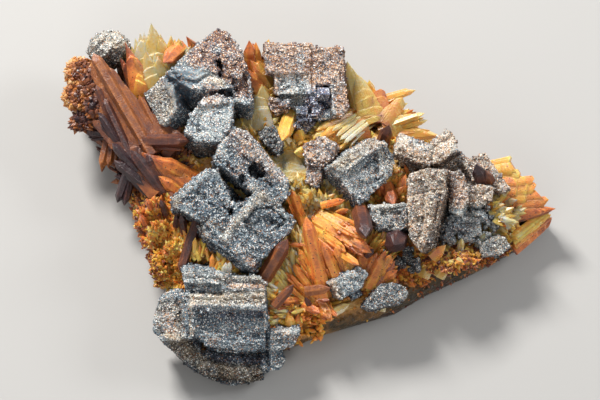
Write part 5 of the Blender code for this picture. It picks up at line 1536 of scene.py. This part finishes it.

# Top plate: a square plate of galena under a rosy film of iron. Its lower right corner never
# closed: it is a skeletal hollow, with heaps of small galena blocks grown in it.
# Its tone features paint small pits in the hollow darker: painted shade
galena_piece("top_plate", "galena_top", 102, 0.0, tone=0.5, rosy=0.85,
    relief=[
        (1.2, -0.45, 311, 44, 311.5, 60, 312, 84),
        (2.5, -0.6, 276, 74, 309, 74, 310, 100, 292, 106, 276, 98, 276, 74),
        (2.0, -0.5, 278, 76, 286, 88, 280, 98), (1.8, -0.45, 296, 76, 300, 92, 296, 104),
        (2.0, -0.5, 286, 108, 300, 112, 304, 126), (2.2, -0.7, 318, 90, 324, 100, 320, 110)],
    tones_light_and_shade=[
        (6.0, 0.32, 275, 74, 310, 74, 310, 100, 292, 106, 276, 98, 275, 74),
        (5.0, 0.42, 308, 86, 332, 86, 334, 112, 312, 116, 308, 86), (3.0, -0.5, 314, 94, 320, 100),
        (3.0, -0.5, 326, 104, 322, 112), (4.0, -0.12, 280, 100, 290, 106, 296, 122),
        (4.0, 0.04, 300, 112, 306, 122, 302, 130)],
    rosies=[
        (6.0, -0.75, 277, 76, 309, 76, 310, 100, 292, 108, 278, 100, 277, 76),
        (6.0, -0.9, 296, 86, 334, 84, 336, 116, 316, 134, 292, 126, 296, 86),
        (5.0, -0.5, 300, 56, 302, 62), (5.0, 0.3, 336, 92, 338, 104)],
    tans=[(5.0, 0.5, 270, 96, 276, 106), (4.0, 0.4, 294, 96, 300, 102)],
    navies=[
        (6.0, 0.95, 310, 86, 330, 84, 334, 104, 324, 114, 308, 130, 296, 126, 300, 108, 310, 86),
        (4.0, 0.35, 286, 58, 292, 64), (4.0, 0.3, 304, 54, 312, 58)],
    clusters=[
        ((318, 94), 17.6, 0.9, 34, 0.8), ((324, 98), 16.8, 0.7, 24, 0.7),
        ((312, 104), 17.0, 0.9, 34, 0.75), ((316, 112), 15.8, 0.9, 26, 0.7),
        ((326, 104), 15.0, 0.8, 20, 0.6), ((304, 116), 16.2, 1.0, 26, 0.7),
        ((296, 126), 15.4, 0.7, 14, 0.5), ((284, 104), 17.2, 0.8, 18, 0.6)])

# Twin cube: the biggest crystal, a grey galena cube that stands on its corner in the middle of
# the specimen. Its edges outgrew its faces, so ridges stand round sunken fields; clay has
# stained one of them tan.
# Its tone features paint the pits and creases darker and the ridges lighter: painted shade and
# painted highlight
galena_piece("twin_cube", "galena_centre", 103, 45.0, tone=0.42,
    relief=[
        (4.0, 0.55, 262, 196, 246, 212, 232, 228, 226, 240), (3.2, -1.4, 236, 192, 241, 200),
        (2.6, -1.0, 228, 209, 231, 213),
        (3.0, 0.9, 246, 218, 258, 208, 274, 208, 284, 222, 264, 240, 246, 218),
        (1.8, -0.6, 222, 160, 240, 176, 246, 186), (2.2, -0.8, 246, 158, 258, 172, 272, 186),
        (2.4, 0.35, 236, 136, 252, 150, 286, 186), (3.0, 0.4, 180, 200, 204, 178, 216, 172),
        (2.0, -0.45, 204, 226, 222, 244, 244, 264), (2.0, -0.5, 258, 198, 280, 208),
        (1.6, -0.35, 196, 190, 214, 206, 224, 216)],
    tones_light_and_shade=[
        (8.0, -0.2, 180, 200, 206, 180, 226, 206, 222, 226, 204, 222, 180, 200),
        (4.5, 0.18, 262, 196, 246, 212, 232, 228, 224, 240), (4.5, -0.45, 236, 192, 241, 200),
        (3.5, -0.4, 228, 209, 231, 213),
        (5.0, -0.12, 246, 218, 258, 208, 274, 208, 284, 222, 264, 240, 246, 218),
        (5.0, -0.26, 246, 158, 258, 172, 270, 184), (3.5, 0.1, 236, 130, 256, 148, 288, 184),
        (3.5, 0.16, 176, 200, 200, 176, 216, 170), (3.5, -0.4, 274, 218, 277, 224),
        (3.0, -0.15, 222, 160, 240, 178), (5.0, -0.1, 240, 268, 262, 262, 290, 228),
        (4.0, 0.06, 256, 202, 272, 206, 286, 214)],
    rosies=[
        (8.0, 0.42, 224, 140, 236, 126, 248, 132, 286, 176, 276, 182, 246, 160, 224, 140),
        (4.0, 0.6, 250, 260, 254, 266), (6.0, 0.25, 232, 170, 240, 166)],
    tans=[
        (5.0, 0.45, 262, 196, 246, 212, 232, 228, 224, 240), (4.0, 0.5, 200, 226, 206, 236),
        (3.5, 0.6, 176, 206, 178, 196), (5.0, 0.3, 210, 222, 222, 228),
        (5.0, 0.3, 252, 190, 282, 206)])

# Front block: stepped blocks of galena that grew out over the front edge of the slab. The
# front face is grey between raised rims; tan clay lies on the ledges and on the lower fringe.
# Its tone features paint the ledges lighter, and the creases and the lower fringe, where the block
# turns under, darker: painted light and shade
galena_piece("front_block", "galena_front", 104, 1.0, tone=0.48,
    relief=[
        (1.6, 0.4, 188, 306, 210, 305, 266, 307), (1.6, 0.35, 191, 308, 192, 334),
        (2.0, -0.35, 195, 310, 264, 310, 264, 340, 200, 332, 195, 310),
        (2.0, -0.9, 196, 341, 210, 350, 236, 353, 266, 354),
        (1.8, -0.8, 184, 291, 206, 292, 222, 294), (1.4, -0.35, 186, 278, 206, 277, 222, 280),
        (1.2, -0.35, 226, 283, 264, 283), (1.2, -0.3, 224, 291, 264, 292),
        (1.2, -0.35, 188, 298, 230, 300, 264, 298), (1.6, -0.12, 200, 316, 230, 312, 262, 318),
        (1.6, 0.12, 204, 328, 236, 322, 264, 330), (1.8, -0.7, 268, 330, 268, 350, 267, 364),
        (2.4, -0.5, 176, 300, 180, 320, 188, 336), (1.8, -0.6, 200, 358, 228, 364, 262, 364),
        (2.0, -0.5, 190, 340, 198, 352, 212, 360)],
    tones_light_and_shade=[
        (5.0, 0.02, 192, 308, 266, 309, 266, 334, 196, 332, 192, 308),
        (4.0, -0.06, 200, 344, 228, 347, 262, 348), (2.0, 0.04, 189, 306, 228, 304, 266, 306),
        (1.8, 0.14, 190, 306, 191, 334),
        (5.0, -0.14, 196, 310, 262, 311, 250, 322, 200, 326, 196, 310),
        (3.0, -0.34, 196, 341, 210, 352, 236, 355, 266, 356),
        (3.0, -0.18, 204, 354, 266, 356, 264, 364, 214, 362, 204, 354),
        (2.4, -0.32, 184, 291, 206, 292, 220, 294),
        (4.0, 0.26, 183, 270, 214, 270, 222, 276, 222, 288, 186, 288, 183, 270),
        (4.0, 0.2, 224, 284, 264, 284, 266, 300, 190, 304, 190, 296, 224, 284),
        (3.0, -0.25, 178, 302, 184, 324, 190, 336), (2.5, -0.25, 268, 328, 268, 366),
        (7.0, -0.4, 180, 362, 212, 378, 262, 382),
        (6.0, -0.1, 156, 300, 170, 290, 180, 296, 180, 330, 160, 336, 156, 300),
        (2.2, 0.5, 230, 357, 234, 358)],
    rosies=[
        (3.0, 0.75, 232, 286, 264, 286), (5.0, 0.35, 166, 316, 172, 330),
        (3.0, 0.4, 212, 340, 216, 342), (6.0, 0.3, 282, 334, 296, 340)],
    tans=[
        (3.0, 0.7, 188, 294, 266, 290, 266, 305, 190, 305, 188, 294),
        (4.0, 0.5, 222, 278, 262, 280), (2.0, 0.6, 190, 306, 191, 334),
        (6.0, 0.85, 160, 330, 188, 338, 206, 358, 262, 368, 262, 384, 212, 380, 176, 356, 160,
         330), (6.0, 0.45, 154, 312, 160, 300, 182, 300, 184, 334, 158, 334, 154, 312)],
    navies=[
        (4.0, 0.35, 206, 312, 236, 316, 262, 312),
        (3.0, 0.5, 206, 354, 266, 356, 264, 364, 214, 362, 206, 354)])

# Right cube: a grey galena cube, right of the twin cube and turned to it, grown into the
# matrix. Its far edge is raised and tan with clay, and grooves run beside its near edges.
galena_piece("right_cube", "galena_right_cube", 105, 34.0, tone=0.52, tan=0.1,
    relief=[
        (1.8, 0.4, 345, 172, 372, 151, 388, 144), (1.8, -0.35, 348, 178, 376, 158),
        (2.0, -0.4, 376, 156, 378, 178)],
    tones_light_and_shade=[
        (4.0, 0.1, 330, 166, 356, 148, 370, 139, 385, 143, 372, 151, 344, 170, 330, 166),
        (6.0, -0.02, 345, 176, 374, 156, 376, 182, 361, 202, 345, 176),
        (4.0, -0.15, 388, 156, 390, 172), (5.0, -0.2, 362, 204, 376, 186)],
    tans=[
        (5.0, 0.75, 330, 166, 356, 148, 370, 139, 385, 143, 372, 151, 344, 170, 330, 166),
        (6.0, 0.4, 380, 150, 390, 166)],
    rosies=[(7.0, 0.3, 360, 148, 378, 144)])

# Right group: slabs and plates of galena grown into each other on the right side, under a tan
# and rosy film, with heaps of small grey blocks on their lower end.
# Its tone features paint the creases darker: painted shade
galena_piece("right_group", "galena_right_group", 106, 8.0, tone=0.5, rosy=0.24,
             tan=0.9, steps=0.4,
    clusters=[
        ((456, 222), 13.6, 1.1, 40, 0.7), ((470, 216), 13.4, 1.1, 40, 0.7),
        ((482, 214), 13.0, 1.0, 36, 0.65), ((492, 224), 11.4, 1.0, 30, 0.6),
        ((448, 238), 12.0, 0.9, 24, 0.6), ((466, 236), 11.6, 1.0, 30, 0.6),
        ((436, 250), 10.6, 0.8, 18, 0.5), ((484, 240), 10.6, 0.9, 24, 0.5)],
    relief=[
        (1.8, -0.4, 420, 172, 424, 200, 420, 236), (1.6, -0.5, 400, 150, 416, 158, 430, 160),
        (1.6, -0.4, 434, 146, 446, 140, 452, 136), (1.4, -0.3, 409, 196, 424, 192, 444, 190),
        (1.8, -0.6, 440, 196, 434, 224, 428, 244), (2.0, -0.6, 448, 176, 450, 200, 446, 220),
        (1.6, -0.4, 466, 186, 480, 196, 490, 190), (1.6, -0.3, 470, 166, 486, 174, 500, 184)],
    tones_light_and_shade=[
        (4.0, 0.12, 400, 134, 430, 145, 428, 158, 398, 150, 400, 134),
        (4.0, 0.1, 430, 146, 448, 132, 454, 146, 438, 158, 430, 146),
        (3.5, -0.34, 396, 154, 414, 162, 432, 166, 456, 154),
        (5.0, -0.26, 440, 194, 436, 222, 428, 246), (3.0, -0.3, 448, 172, 449, 200, 447, 222),
        (5.0, -0.18, 452, 232, 474, 236), (4.0, -0.15, 410, 238, 420, 250),
        (4.0, -0.15, 474, 190, 484, 204),
        (5.0, 0.3, 446, 212, 500, 208, 508, 238, 470, 254, 444, 250, 446, 212)],
    rosies=[
        (6.0, -0.5, 446, 208, 500, 204, 510, 240, 470, 258, 438, 252, 446, 208),
        (5.0, 0.45, 450, 172, 466, 176, 468, 198, 460, 214, 450, 208, 450, 172),
        (8.0, 0.2, 470, 160, 500, 182)],
    tans=[
        (6.0, -0.7, 446, 208, 500, 204, 510, 240, 470, 258, 438, 252, 446, 208),
        (5.0, -0.7, 412, 140, 424, 148), (4.0, -0.8, 458, 150, 464, 156)],
    navies=[(7.0, 0.3, 444, 232, 470, 228), (6.0, 0.2, 488, 222, 500, 212)])

# Four small galena cubes that grew in the gaps between the large ones: a blue-grey one at the
# lower right with a heap of blocks at its foot, a rosy one, a dark one on its corner and a
# blue-grey box with a tan side.
galena_piece("lower_right_cube", "galena_lower_right", 107, 6.0, tone=0.46, tan=0.3,
    relief=[(1.6, -0.4, 376, 212, 402, 208, 410, 216)],
    tones_light_and_shade=[(3.0, 0.15, 372, 206, 404, 203), (4.0, -0.12, 382, 228, 398, 230, 412, 222)],
    rosies=[(5.0, 0.3, 396, 216, 408, 214)],
    clusters=[
        ((400, 262), 11.6, 0.8, 60, 0.42), ((408, 254), 12.2, 0.6, 50, 0.42),
        ((414, 266), 10.8, 0.8, 50, 0.42), ((388, 256), 12.6, 0.6, 30, 0.36)])
# Its tone features paint the crease darker: painted shade
galena_piece("middle_cube", "galena_middle", 108, 12.0, tone=0.5, rosy=0.55,
             tan=0.15,
    relief=[(1.6, -0.5, 306, 160, 322, 164), (1.6, -0.3, 312, 142, 316, 158)],
    tones_light_and_shade=[(3.0, -0.2, 304, 162, 322, 166), (4.0, -0.1, 306, 180, 316, 188)])
galena_piece("diamond_cube", "galena_diamond", 109, 45.0, tone=0.3, tan=0.3,
    tones_light_and_shade=[(3.0, -0.2, 276, 152, 282, 146)])
galena_piece("box_cube", "galena_box", 110, 30.0, tone=0.55,
    tans=[(3.0, 0.9, 328, 282, 336, 280, 344, 300, 334, 300, 328, 282)],
    rosies=[(3.0, 0.4, 332, 284, 338, 296)],
    tones_light_and_shade=[(3.0, -0.3, 340, 300, 364, 288)])

# Crusts of fine galena over the slab, under a greenish film: a knob at the upper left, a dark
# crust, and one along the edge.
galena_piece("knob", "galena_knob", 111, 20.0, tone=0.58, tan=0.45,
    tans=[(6.0, 0.4, 100, 44, 112, 42)])
galena_piece("dark_crust", "galena_dark_crust", 112, 20.0, tone=0.36, tan=0.25)
galena_piece("edge_crust", "galena_edge_crust", 113, 10.0, tone=0.44, tan=0.4)
